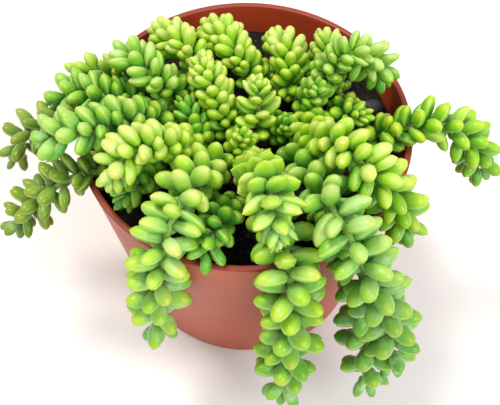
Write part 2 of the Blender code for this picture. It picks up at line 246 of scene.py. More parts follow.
# The stems, those seen best first: a later stem's leaves give way to those of an earlier one.
STEMS = (
    Stem("stem_front_left_trailer", Tone.BRIGHT, 13.8, (-13, -17), (
        (-17, -33, 120), (-23, -49, 130), (-28, -61, 127), (-32, -68, 113),
        (-35, -69, 84), (-37, -70, 60),
    ), pitch=1.95, bare=13, bloom=0.8, sunlit=0.12, spread=84),
    Stem("stem_front_arch", Tone.BRIGHT, 14.4, (4, -21), (
        (5, -32, 118), (6, -44, 134), (9, -57, 142), (12, -70, 135),
    ), pitch=1.25, plump=0.95, thick=0.78, pale_tip=0.9, bloom=0.5, spread=70, form=LeafForm.POINTED),
    Stem("stem_front_trailer", Tone.BRIGHT, 14.6, (11, -29), (
        (13, -50, 112), (16, -69, 117), (18, -78, 93), (18, -80, 62),
        (16, -85, 28),
    ), pitch=1.95, bare=24, bloom=0.6, sunlit=0.08, spread=86),
    Stem("stem_front_right_trailer", Tone.GREEN, 14.0, (24, -11), (
        (28, -44, 127), (33, -59, 134), (39, -67, 128), (44, -71, 117),
        (51, -72, 100), (57, -74, 80), (61, -77, 60), (63, -80, 46),
    ), pitch=2.2, bloom=0.8, sunlit=0.12, spread=80),
    Stem("stem_right_arch", Tone.BRIGHT, 12.4, (27, 7), (
        (30, -21, 124), (36, -33, 139), (44, -41, 139), (52, -42, 128),
        (61, -41, 110), (65, -42, 93),
    ), pitch=1.4, sunlit=0.06),
    Stem("stem_front_left_arch", Tone.BRIGHT, 12.0, (-24, -7), (
        (-28, -19, 120), (-34, -27, 132), (-40, -32, 137), (-47, -36, 134),
        (-51, -40, 127),
    ), pitch=1.25, plump=1.05, pale_tip=0.5, sunlit=0.18),
    Stem("stem_left_main", Tone.GREEN, 12.4, (-34, 7), (
        (-40, -5, 119), (-51, -15, 131), (-62, -22, 133), (-73, -22, 131),
        (-80, -20, 125),
    ), pitch=1.3, pale_tip=1.0, bloom=0.4),
    Stem("stem_upper_right", Tone.GREEN, 11.0, (38, 27), (
        (34, 17, 118), (36, 12, 134), (41, 12, 140), (50, 14, 134),
        (58, 18, 119),
    ), pitch=0.9, plump=0.85, sunlit=0.1),
    Stem("stem_far_right", Tone.BRIGHT, 12.0, (46, 3), (
        (54, -4, 107), (64, -7, 116), (73, -8, 120), (84, -8, 117),
        (95, -8, 106), (101, -8, 86),
    ), pitch=1.5, bare=11, sunlit=-0.05),
    Stem("stem_left_low", Tone.OLIVE, 11.8, (-46, -13), (
        (-55, -21, 106), (-64, -27, 113), (-73, -29, 110), (-84, -29, 97),
        (-93, -28, 85), (-100, -28, 75),
    ), pitch=1.6, plump=0.9, bloom=0.2),
    Stem("stem_left_back", Tone.GREEN, 11.8, (-27, 22), (
        (-31, 11, 119), (-38, 9, 131), (-45, 14, 134), (-50, 21, 128),
    ), pitch=1.1, plump=0.92, sunlit=0.1),
    Stem("stem_centre_left", Tone.BRIGHT, 12.2, (-6, 0), (
        (-8, 0, 112), (-12, 3, 126), (-17, 8, 137),
    ), pitch=0.78, plump=0.8, sunlit=0.15, spread=66, form=LeafForm.BLUNT),
    Stem("stem_back_left", Tone.BRIGHT, 11.2, (-18, 30), (
        (-19, 22, 118), (-25, 25, 129), (-31, 32, 126), (-37, 41, 119),
    ), pitch=0.7, plump=0.8, sunlit=0.14, spread=64, form=LeafForm.BLUNT),
    Stem("stem_back_centre_left", Tone.BRIGHT, 11.6, (5, 32), (
        (3, 24, 113), (-3, 26, 122), (-8, 34, 123), (-15, 45, 117),
    ), pitch=0.7, plump=0.8, sunlit=0.14, spread=66, form=LeafForm.BLUNT),
    Stem("stem_back_centre_right", Tone.BRIGHT, 11.8, (21, 28), (
        (19, 19, 114), (18, 25, 123), (13, 36, 121),
    ), pitch=0.7, plump=0.8, sunlit=0.14, spread=66, form=LeafForm.BLUNT),
    Stem("stem_back_right", Tone.BRIGHT, 11.2, (31, 38), (
        (34, 32, 111), (35, 33, 120), (34, 38, 120),
    ), pitch=0.7, plump=0.8, sunlit=0.16, spread=64, form=LeafForm.BLUNT),
    Stem("stem_left_upper", Tone.GREEN, 11.4, (-38, 16), (
        (-48, 9, 114), (-59, 6, 121), (-69, 8, 120), (-80, 12, 110),
    ), pitch=1.3),
    Stem("stem_far_left_back", Tone.BRIGHT, 10.8, (-37, 27), (
        (-47, 23, 112), (-57, 22, 116), (-65, 22, 115.5), (-74, 26, 106),
    ), pitch=1.4, plump=0.9, bloom=0.3, sunlit=0.12),
    Stem("stem_inner_trailer", Tone.GREEN, 13.8, (30, -20), (
        (34, -46, 112), (39, -58.5, 116), (46, -66, 96), (50, -72, 74),
        (52, -77, 49), (53, -83, 30),
    ), pitch=2.3, bare=18, bloom=0.6, sunlit=0.1, spread=80),
    Stem("stem_left_under", Tone.OLIVE, 11.6, (-46, 4), (
        (-59, -1, 107), (-70, -2, 115), (-86, 1, 107), (-97, 3, 93),
        (-103, 3, 81),
    ), pitch=1.8, plump=0.85, bloom=0.2),
    Stem("stem_front_left_small", Tone.GREEN, 11.2, (-37, -20), (
        (-39, -26, 108), (-43, -33, 115), (-47, -39, 112),
    ), pitch=0.95, spread=66),
    Stem("stem_centre_upright", Tone.BRIGHT, 12.4, (5, -3), (
        (5, -4, 115), (5, 1, 133),
    ), pitch=1.15, plump=0.92, thick=0.85, bare=15, pale_tip=0.6, sunlit=0.15, spread=82),
    Stem("stem_centre_front_small", Tone.GREEN, 11.6, (-8, -29), (
        (-9, -43, 109), (-10, -53, 117), (-13, -61, 118), (-17, -65, 110),
    ), pitch=1.2, bare=14),
    Stem("stem_centre_right_tuft", Tone.GREEN, 11.8, (24, 18), (
        (27, 10, 112), (29, 6, 126),
    ), pitch=0.95, plump=0.85, sunlit=0.1, spread=66),
    Stem("stem_right_tuft", Tone.BRIGHT, 11.6, (44, 14), (
        (42, 7, 107), (43, 1, 115), (47, -2, 119),
    ), pitch=0.95, plump=0.85, sunlit=0.15, spread=66),
    Stem("stem_centre_tuft", Tone.GREEN, 11.6, (15, 5), (
        (16, -4, 110), (17, -9, 120),
    ), pitch=0.95, plump=0.85, spread=66),
    Stem("stem_centre_low_left", Tone.GREEN, 12.0, (-15, -2), (
        (-18, -5, 107), (-21, -4, 114), (-24, 1, 120),
    ), pitch=0.95, plump=0.85, spread=68),
    Stem("stem_centre_front_tuft", Tone.BRIGHT, 11.2, (-3, -9), (
        (-2, -12, 108), (-1, -15, 120),
    ), pitch=0.95, plump=0.85, bare=8, sunlit=0.12, spread=64),
)


@dataclass(frozen=True)
class LeafFinish:
    """Waxy succulent skin over watery flesh: light sinks in, and a pale bloom dulls the exposed side."""

    name: str
    deep_green_and_painted_shade: str
    sun: str
    glow: str
    pale: str
    tip: str
    bloom: str = "#B4DA96"
    # Pale margin colour, partly a painted rim highlight
    margin_and_painted_rim: str = "#DDEC84"
    depth: float = 1.8 * MM
    skin_grain: float = 0.5 * MM
    bloom_patch: float = 2.8 * MM

    def material(self) -> bpy.types.Material:
        """Build the skin from the leaf's own attributes and a fine grain.

        Returns:
            The material.
        """
        material, tree = surface(self.name)
        along, edge, sun, chance, powdered = (
            add(tree, "ShaderNodeAttribute", attribute_name=label).outputs["Fac"]
            for label in ("along", "edge", "leaf_sun", "leaf_chance", "leaf_bloom"))
        place = add(tree, "ShaderNodeTexCoord").outputs["Object"]

        # Flesh tone plus painted light: high, upward-facing, open and outer parts are painted lighter, up to
        # a pale painted highlight, and hidden bases are painted in darker shade; part of the yellow is the
        # real tone of sun-grown leaves
        facing = add(tree, "ShaderNodeNewGeometry").outputs["Normal"]
        up = add(tree, "ShaderNodeSeparateXYZ", {0: facing}).outputs["Z"]
        upward = add(tree, "ShaderNodeMath", {0: up, 1: 0.30, 2: sun}, operation="MULTIPLY_ADD")
        lit = add(tree, "ShaderNodeMath", {0: along, 1: 0.36, 2: upward}, operation="MULTIPLY_ADD")
        varied = add(tree, "ShaderNodeMath", {0: chance, 1: 0.26, 2: lit}, operation="MULTIPLY_ADD")
        exposure = add(tree, "ShaderNodeMapRange", {0: varied, 1: 0.35, 2: 1.65})
        # Stops: painted shade, the flesh tones, and a pale painted highlight at the top
        flesh = add(tree, "ShaderNodeValToRGB", {0: exposure},
                    stops=((0.0, self.deep_green_and_painted_shade), (0.54, self.sun), (0.78, self.glow), (1.0, self.pale)))

        # A thin pale edge, partly the leaf's real pale margin and partly a painted rim highlight, and a tip
        # that some leaves have more yellow than others
        painted_rim_mask = add(tree, "ShaderNodeMapRange", {0: edge, 1: 0.84, 2: 1.0, 4: 0.45},
                  interpolation_type="SMOOTHSTEP")
        with_painted_rim = add(tree, "ShaderNodeMix", {0: painted_rim_mask, 6: flesh, 7: linear(self.margin_and_painted_rim)}, data_type="RGBA")
        tipward = add(tree, "ShaderNodeMapRange", {0: along, 1: 0.72, 2: 1.0, 4: 0.6},
                      interpolation_type="SMOOTHSTEP")
        tinge = add(tree, "ShaderNodeMapRange", {0: chance, 3: 0.15, 4: 0.9})
        tip_share = add(tree, "ShaderNodeMath", {0: tipward, 1: tinge}, operation="MULTIPLY")
        tipped = add(tree, "ShaderNodeMix", {
            0: tip_share, 6: with_painted_rim, 7: linear(self.tip)}, data_type="RGBA")

        # Bloom: a pale wax powder on the open side, in patches, rubbed off the tips
        patch = add(tree, "ShaderNodeTexNoise", {
            "Vector": place, "Scale": 1 / self.bloom_patch, "Detail": 3.0, "Roughness": 0.55})
        outer = add(tree, "ShaderNodeMapRange", {0: along, 1: 0.90, 2: 0.50, 3: 0.15, 4: 1.0},
                    interpolation_type="SMOOTHSTEP")
        open_side = add(tree, "ShaderNodeMapRange", {0: up, 1: -0.3, 2: 0.8, 3: 0.35, 4: 1.0})
        patchy = add(tree, "ShaderNodeMapRange", {0: patch, 1: 0.30, 2: 0.70, 3: 0.25, 4: 1.25})
        worn = add(tree, "ShaderNodeMath", {0: outer, 1: patchy}, operation="MULTIPLY")
        shown = add(tree, "ShaderNodeMath", {0: worn, 1: open_side}, operation="MULTIPLY")
        powder = add(tree, "ShaderNodeMath", {0: shown, 1: powdered}, operation="MULTIPLY", use_clamp=True)
        skin = add(tree, "ShaderNodeMix", {0: powder, 6: tipped, 7: linear(self.bloom)}, data_type="RGBA")

        rough = add(tree, "ShaderNodeMapRange", {0: powder, 3: 0.30, 4: 0.60})
        grain = add(tree, "ShaderNodeTexNoise", {
            "Vector": place, "Scale": 1 / self.skin_grain, "Detail": 2.0})
        relief = add(tree, "ShaderNodeBump", {"Strength": 0.12, "Distance": 0.05 * MM, "Height": grain})
        shader = add(tree, "ShaderNodeBsdfPrincipled", {
            "Base Color": skin, "Roughness": rough, "IOR": 1.45,
            "Subsurface Weight": 0.22, "Subsurface Radius": (0.6, 1.0, 0.08),
            "Subsurface Scale": self.depth, "Sheen Weight": 0.16, "Sheen Roughness": 0.30,
            "Sheen Tint": linear("#F4FFD0"), "Specular IOR Level": 0.52,
            "Normal": relief})
        add(tree, "ShaderNodeOutputMaterial", {"Surface": shader})
        return material


@dataclass(frozen=True)
class StalkFinish:
    """Young stalks are pale green and waxy, old bare ones brown and corky with the scars of lost leaves."""

    name: str = "sedum stalk skin"
    young: str = "#8FB552"
    old: str = "#8A6A3C"
    scar: str = "#5E4426"
    cork_grain: float = 1.1 * MM

    def material(self) -> bpy.types.Material:
        """Build the skin from the stalk's age attribute and a corky noise.

        Returns:
            The material.
        """
        material, tree = surface(self.name)
        age = add(tree, "ShaderNodeAttribute", attribute_name="age").outputs["Fac"]
        place = add(tree, "ShaderNodeTexCoord").outputs["Object"]
        cork = add(tree, "ShaderNodeTexNoise", {
            "Vector": place, "Scale": 1 / self.cork_grain, "Detail": 4.0, "Roughness": 0.6})
        worn = add(tree, "ShaderNodeMath", {0: cork, 1: 0.6, 2: age}, operation="MULTIPLY_ADD")
        aged = add(tree, "ShaderNodeMapRange", {0: worn, 1: 0.45, 2: 1.0})
        colour = add(tree, "ShaderNodeMix", {
            0: aged, 6: linear(self.young), 7: linear(self.old)}, data_type="RGBA")
        scars = add(tree, "ShaderNodeMapRange", {0: cork, 1: 0.58, 2: 0.72, 4: 0.6})
        scarred = add(tree, "ShaderNodeMix", {0: scars, 6: colour, 7: linear(self.scar)}, data_type="RGBA")
        relief = add(tree, "ShaderNodeBump", {"Strength": 0.5, "Distance": 0.15 * MM, "Height": cork})
        shader = add(tree, "ShaderNodeBsdfPrincipled", {
            "Base Color": scarred, "Roughness": 0.62, "IOR": 1.45,
            "Subsurface Weight": 0.1, "Subsurface Radius": (0.8, 0.6, 0.2),
            "Subsurface Scale": 1 * MM, "Normal": relief})
        add(tree, "ShaderNodeOutputMaterial", {"Surface": shader})
        return material


@dataclass(frozen=True)
class PotFinish:
    """Injection-moulded polypropylene, dyed terracotta: satin, dusty outside, redder inside, where it is also
    painted lighter as painted light in the shaded inside.
    """

    name: str = "terracotta-coloured polypropylene"
    outside: str = "#AE4A2E"
    dusty: str = "#BC684C"
    # Inside tone: redder, and painted lighter than the wall as painted light in the shaded inside
    inside: str = "#D04E2A"
    # Painted shade: the darker red-brown painted on the top of the lip
    lip: str = "#8E3A28"
    # Darker tone for patches just above the soil
    near_soil_tone: str = "#A04628"
    dust_patch: float = 26 * MM
    streak: float = 3 * MM
    skin_grain: float = 0.45 * MM

    def material(self) -> bpy.types.Material:
        """Build the plastic from the wall's inside attribute, dust, streaks and a fine moulded grain.

        Returns:
            The material.
        """
        material, tree = surface(self.name)
        inner = add(tree, "ShaderNodeAttribute", attribute_name="inside").outputs["Fac"]
        place = add(tree, "ShaderNodeTexCoord").outputs["Object"]
        patches = add(tree, "ShaderNodeTexNoise", {
            "Vector": place, "Scale": 1 / self.dust_patch, "Detail": 5.0, "Roughness": 0.6})
        tall = add(tree, "ShaderNodeMapping", {"Vector": place, "Scale": (1.0, 1.0, 0.06)})
        streaks = add(tree, "ShaderNodeTexNoise", {"Vector": tall, "Scale": 1 / self.streak, "Detail": 3.0})
        mottled = add(tree, "ShaderNodeMath", {0: streaks, 1: 0.22, 2: patches}, operation="MULTIPLY_ADD")
        dust = add(tree, "ShaderNodeMapRange", {0: mottled, 1: 0.45, 2: 0.85, 4: 0.55})
        wall = add(tree, "ShaderNodeMix", {
            0: dust, 6: linear(self.outside), 7: linear(self.dusty)}, data_type="RGBA")
        height = add(tree, "ShaderNodeSeparateXYZ", {0: place}).outputs["Z"]
        # Darker in patches just above the soil
        near_soil = add(tree, "ShaderNodeMapRange", {
            0: height, 1: SOIL_LEVEL + 5 * MM, 2: SOIL_LEVEL - 1 * MM, 4: 0.5})
        near_soil_patches = add(tree, "ShaderNodeMath", {0: near_soil, 1: patches}, operation="MULTIPLY")
        # Inside: a redder tone, painted lighter than the wall as painted light in the shaded inside
        lining_and_painted_light = add(tree, "ShaderNodeMix", {
            0: near_soil_patches, 6: linear(self.inside), 7: linear(self.near_soil_tone)}, data_type="RGBA")
        sides = add(tree, "ShaderNodeMix", {0: inner, 6: wall, 7: lining_and_painted_light}, data_type="RGBA")
        # Painted shade: the top of the lip is painted darker red-brown
        lip_shade_mask = add(tree, "ShaderNodeMapRange", {
            0: height, 1: POT_HEIGHT - 1.2 * MM, 2: POT_HEIGHT - 0.5 * MM, 4: 0.9},
            interpolation_type="SMOOTHSTEP")
        colour = add(tree, "ShaderNodeMix", {0: lip_shade_mask, 6: sides, 7: linear(self.lip)}, data_type="RGBA")
        rough = add(tree, "ShaderNodeMapRange", {0: dust, 2: 0.55, 3: 0.40, 4: 0.62})
        grain = add(tree, "ShaderNodeTexNoise", {
            "Vector": place, "Scale": 1 / self.skin_grain, "Detail": 2.0})
        relief = add(tree, "ShaderNodeBump", {"Strength": 0.15, "Distance": 0.04 * MM, "Height": grain})
        shader = add(tree, "ShaderNodeBsdfPrincipled", {
            "Base Color": colour, "Roughness": rough, "IOR": 1.49,
            "Subsurface Weight": 0.08, "Subsurface Radius": (1.0, 0.4, 0.2),
            "Subsurface Scale": 1.5 * MM, "Normal": relief})
        add(tree, "ShaderNodeOutputMaterial", {"Surface": shader})
        return material


@dataclass(frozen=True)
class EarthFinish:
    """Loose matter in the pot, such as damp peat, root fibre or grit: matt, and no two grains alike."""

    name: str
    dark: str
    light: str
    roughness: float = 0.95
    grain: float = 0.9 * MM
    relief: float = 0.5 * MM

    def material(self) -> bpy.types.Material:
        """Build the matter from each grain's chance attribute and a coarse noise.

        Returns:
            The material.
        """
        material, tree = surface(self.name)
        chance = add(tree, "ShaderNodeAttribute", attribute_name="grain_chance").outputs["Fac"]
        place = add(tree, "ShaderNodeTexCoord").outputs["Object"]
        clods = add(tree, "ShaderNodeTexNoise", {
            "Vector": place, "Scale": 1 / self.grain, "Detail": 6.0, "Roughness": 0.7})
        mixed = add(tree, "ShaderNodeMath", {0: chance, 1: 0.7, 2: clods}, operation="MULTIPLY_ADD")
        share = add(tree, "ShaderNodeMapRange", {0: mixed, 1: 0.35, 2: 1.25})
        colour = add(tree, "ShaderNodeMix", {
            0: share, 6: linear(self.dark), 7: linear(self.light)}, data_type="RGBA")
        bumps = add(tree, "ShaderNodeBump", {"Strength": 0.7, "Distance": self.relief, "Height": clods})
        shader = add(tree, "ShaderNodeBsdfPrincipled", {
            "Base Color": colour, "Roughness": self.roughness,
            "Normal": bumps})
        add(tree, "ShaderNodeOutputMaterial", {"Surface": shader})
        return material


# Sunlit stems' leaves are nearly yellow and shaded stems' a cool mid green, partly real tone and partly
# painted light and shade; the thin outer stems are stressed olive.
LEAF_FINISHES = {
    Tone.BRIGHT: LeafFinish(
        "sedum leaf skin, sunlit", "#267C0A", "#70BA14", "#AAD61A", "#D4E484", "#C4C82C"),
    Tone.GREEN: LeafFinish(
        "sedum leaf skin, green", "#146E14", "#58AC20", "#90C62A", "#C0DE8A", "#B0BC2C"),
    Tone.OLIVE: LeafFinish(
        "sedum leaf skin, olive", "#2C5E06", "#6E9412", "#8CAA26", "#B8C470", "#9C922C"),
}
PEAT = EarthFinish("damp peat", "#0A0807", "#211914")
CRUMBS = EarthFinish("peat crumbs", "#0C0908", "#30251C")
FIBRES = EarthFinish("root and coir fibre", "#3A2A1C", "#8C7656", roughness=0.8)
GRIT = EarthFinish("horticultural grit", "#4C4439", "#9A8E7C", roughness=0.75)
STONE = EarthFinish(
    "river pebble", "#22232A", "#46464E", roughness=0.6, grain=2.5 * MM, relief=0.2 * MM)


class GrowingTree:
    """A Geometry Nodes tree with named inputs that turns a source mesh into a plain finished mesh."""

    def __init__(self, name: str, **inputs: str) -> None:
        """Start the tree.

        Args:
            name: the tree's name.
            inputs: the named inputs and the kinds of their sockets.
        """
        self.tree = bpy.data.node_groups.new(name, "GeometryNodeTree")
        face = self.tree.interface
        face.new_socket("Geometry", in_out="OUTPUT", socket_type="NodeSocketGeometry")
        face.new_socket("Geometry", in_out="INPUT", socket_type="NodeSocketGeometry")
        self.sockets = {
            label: face.new_socket(label, in_out="INPUT", socket_type=f"NodeSocket{kind}").identifier
            for label, kind in inputs.items()
        }
        self.source = add(self.tree, "NodeGroupInput").outputs

    def end(self, last: bpy.types.Node) -> None:
        """Finish the tree with the geometry of its last node, smooth-shaded."""
        smooth = add(self.tree, "GeometryNodeSetShadeSmooth", {"Geometry": last})
        add(self.tree, "NodeGroupOutput", {0: smooth})

    def grow(self, name: str, mesh: bpy.types.Mesh, **values: object) -> bpy.types.Object:
        """Run the tree on a mesh.

        Args:
            name: the name of the finished object.
            mesh: the mesh that the tree starts from.
            values: the values of the named inputs.

        Returns:
            An object with the result as its own plain mesh and no modifier.
        """
        item = new_object(name, mesh)
        modifier = item.modifiers.new(self.tree.name, "NODES")
        modifier.node_group = self.tree
        for label, value in values.items():
            modifier[self.sockets[label]] = value
        graph = bpy.context.evaluated_depsgraph_get()
        result = bpy.data.meshes.new_from_object(
            item.evaluated_get(graph), preserve_all_data_layers=True, depsgraph=graph)
        item.modifiers.remove(modifier)
        item.data = result
        result.name = name
        bpy.data.meshes.remove(mesh)
        return item


def shape_box(name: str, meshes: list[bpy.types.Mesh]) -> bpy.types.Collection:
    """Keep meshes as the objects of a collection outside the scene, for a tree to instance.

    Args:
        name: the collection's name.
        meshes: the shapes, in order.

    Returns:
        The collection.
    """
    box = bpy.data.collections.new(name)
    for i, mesh in enumerate(meshes):
        box.objects.link(bpy.data.objects.new(f"{name}_{i:02d}", mesh))
    return box


def empty_box(box: bpy.types.Collection) -> None:
    """Remove a collection of shapes and its objects.

    Args:
        box: the collection.
    """
    for item in list(box.objects):
        bpy.data.objects.remove(item)
    bpy.data.collections.remove(box)


def put_attribute(mesh: bpy.types.Mesh, name: str, kind: str, values: Sequence) -> None:
    """Store one value for each corner of the mesh.

    Args:
        mesh: the mesh.
        name: the attribute's name.
        kind: FLOAT, INT, FLOAT_VECTOR or QUATERNION.
        values: the values, in the order of the corners.
    """
    attribute = mesh.attributes.new(name, kind, "POINT")
    key = "vector" if kind == "FLOAT_VECTOR" else "value"
    attribute.data.foreach_set(key, np.asarray(values).ravel())


# Where a plain leaf is widest, as a share of its length
CROWN = 0.54


@dataclass(frozen=True)
class LeafShape:
    """One leaf of unit length: its outline, half width, thickness on both sides and the lift of its tip."""

    form: LeafForm = LeafForm.OVAL
    half_width: float = 0.29
    upper: float = 0.76
    lower: float = 0.92
    crown: float = CROWN
    lift: float = 0.06
    point: float = 0.01
    sides: int = 8

    # How far along each ring of corners lies, and its width as a share of the widest
    RINGS = {
        LeafForm.OVAL: ((0.04, 0.44), (0.22, 0.80), (0.50, 1.0), (0.74, 0.92), (0.90, 0.64), (0.98, 0.28)),
        LeafForm.BLUNT: ((0.04, 0.50), (0.22, 0.82), (0.50, 1.0), (0.76, 0.97), (0.92, 0.72), (0.985, 0.38)),
        LeafForm.POINTED: ((0.04, 0.42), (0.22, 0.78), (0.48, 1.0), (0.70, 0.90), (0.87, 0.56), (0.97, 0.18)),
    }

    def mesh(self, name: str) -> bpy.types.Mesh:
        """Build the leaf as a closed skin, root at the origin, tip at +Z, flatter side at +Y.

        Args:
            name: the mesh's name.

        Returns:
            The mesh.
        """
        body = bmesh.new()
        rings = self.RINGS[self.form]
        bmesh.ops.create_uvsphere(body, u_segments=self.sides, v_segments=len(rings) + 1, radius=1.0)
        levels = sorted({round(corner.co.z, 4) for corner in body.verts})
        along = body.verts.layers.float.new("along")
        edge = body.verts.layers.float.new("edge")
        for corner in body.verts:
            level = levels.index(round(corner.co.z, 4))
            if level in (0, len(levels) - 1):
                place, width = (0.0, 0.0) if level == 0 else (1.0 + self.point, 0.0)
            else:
                place, width = rings[level - 1]
            place = place ** (math.log(self.crown) / math.log(CROWN)) if place else 0.0
            angle = math.atan2(corner.co.y, corner.co.x)
            depth = self.upper if corner.co.y > 0 else self.lower
            corner[along] = min(place, 1.0)
            corner[edge] = abs(math.cos(angle)) if width else 0.5
            corner.co = (
                math.cos(angle) * width * self.half_width,
                math.sin(angle) * width * self.half_width * depth + self.lift * place ** 2,
                place,
            )
        return mesh_of(body, name)


LEAF_SHAPES = (
    LeafShape(),
    LeafShape(half_width=0.305, upper=0.80, lower=0.92, crown=0.56, lift=0.04),
    LeafShape(half_width=0.275, upper=0.74, lower=0.90, crown=0.52, lift=0.09, point=0.03),
    LeafShape(half_width=0.295, upper=0.70, lower=0.88, crown=0.58, lift=0.04, point=0.02),
    LeafShape(half_width=0.28, upper=0.78, lower=0.96, crown=0.51, lift=0.11),
    LeafShape(LeafForm.BLUNT, half_width=0.29, upper=0.82, lower=0.94, lift=0.05),
    LeafShape(LeafForm.BLUNT, half_width=0.275, upper=0.80, lower=0.92, crown=0.52, lift=0.09),
    LeafShape(LeafForm.BLUNT, half_width=0.305, upper=0.78, lower=0.92, crown=0.57, lift=0.03),
    LeafShape(LeafForm.POINTED, half_width=0.305, upper=0.70, lower=0.92, lift=0.10, point=0.03),
    LeafShape(LeafForm.POINTED, half_width=0.29, upper=0.74, lower=0.94, crown=0.51, lift=0.13, point=0.04),
    LeafShape(LeafForm.POINTED, half_width=0.32, upper=0.68, lower=0.90, crown=0.55, lift=0.08, point=0.03),
)


# The heart of a leaf of unit length, which no other leaf of the same stem may reach: an octahedron with
# its half width, its middle and its half length. Only so many leaves back are tested.
HEART_CORNERS = ((1, 0, 0), (0, 1, 0), (-1, 0, 0), (0, -1, 0), (0, 0, 1), (0, 0, -1))
HEART_FACES = [(i, (i + 1) % 4, 4) for i in range(4)] + [((i + 1) % 4, i, 5) for i in range(4)]
HEART_WIDTH, HEART_MIDDLE, HEART_REACH = 0.2, 0.62, 0.36
NEIGHBOURS = 13


def smooth_route(points: list[tuple[float, float, float]], step: float) -> np.ndarray:
    """Draw a smooth curve through points.

    Args:
        points: the points, in order.
        step: the distance wanted between points of the curve.

    Returns:
        Points about a step apart on the curve.
    """
    knots = np.array(points, float)
    spans = np.linalg.norm(np.diff(knots, axis=0), axis=1)
    chords = np.diff(knots, axis=0) / spans[:, None]
    before, after = spans[:-1, None], spans[1:, None]
    slopes = (chords[1:] * before + chords[:-1] * after) / (before + after)
    slopes = np.concatenate([chords[:1], slopes, chords[-1:]])
    curve = []
    for start, end, leave, arrive, span in zip(knots, knots[1:], slopes, slopes[1:], spans):
        for t in np.linspace(0.0, 1.0, 16, endpoint=False):
            rise = t * t * (3 - 2 * t)
            bend = span * (leave * t * (1 - t) ** 2 - arrive * t * t * (1 - t))
            curve.append(start * (1 - rise) + end * rise + bend)
    curve.append(knots[-1])
    curve = np.array(curve)
    reach = np.concatenate([[0.0], np.cumsum(np.linalg.norm(np.diff(curve, axis=0), axis=1))])
    even = np.linspace(0.0, reach[-1], max(2, round(reach[-1] / step) + 1))
    return np.stack([np.interp(even, reach, curve[:, axis]) for axis in range(3)], axis=1)


class Obstacle:
    """A solid that leaves keep clear of, and the stem that it belongs to."""

    def __init__(self, owner: str, corners: list[Vector], faces: list[tuple[int, ...]]) -> None:
        """Index the solid's surface for quick tests.

        Args:
            owner: the node or stem that it belongs to.
            corners: the solid's corners.
            faces: the solid's faces.
        """
        self.owner = owner
        self.tree = BVHTree.FromPolygons(corners, faces)
        self.low = np.min(corners, axis=0)
        self.high = np.max(corners, axis=0)

    def meets(self, other: Obstacle) -> bool:
        """Say whether the surfaces of two solids cross.

        Args:
            other: the other solid.

        Returns:
            True where they cross.
        """
        if (self.low > other.high).any() or (other.low > self.high).any():
            return False
        return bool(self.tree.overlap(other.tree))


@dataclass(frozen=True)
class LeafSlot:
    """Where a leaf wants to grow: its root, the stem's direction, how it stands and how far along it is."""

    root: Vector
    tangent: Vector
    side: Vector
    turn: float
    spread: float
    length: float
    tipward: float
    share: float


@dataclass(frozen=True)
class GrownLeaf:
    """A leaf in its place, with the look that its attributes give it."""

    place: Matrix
    shape: int
    bloom: float
    chance: float


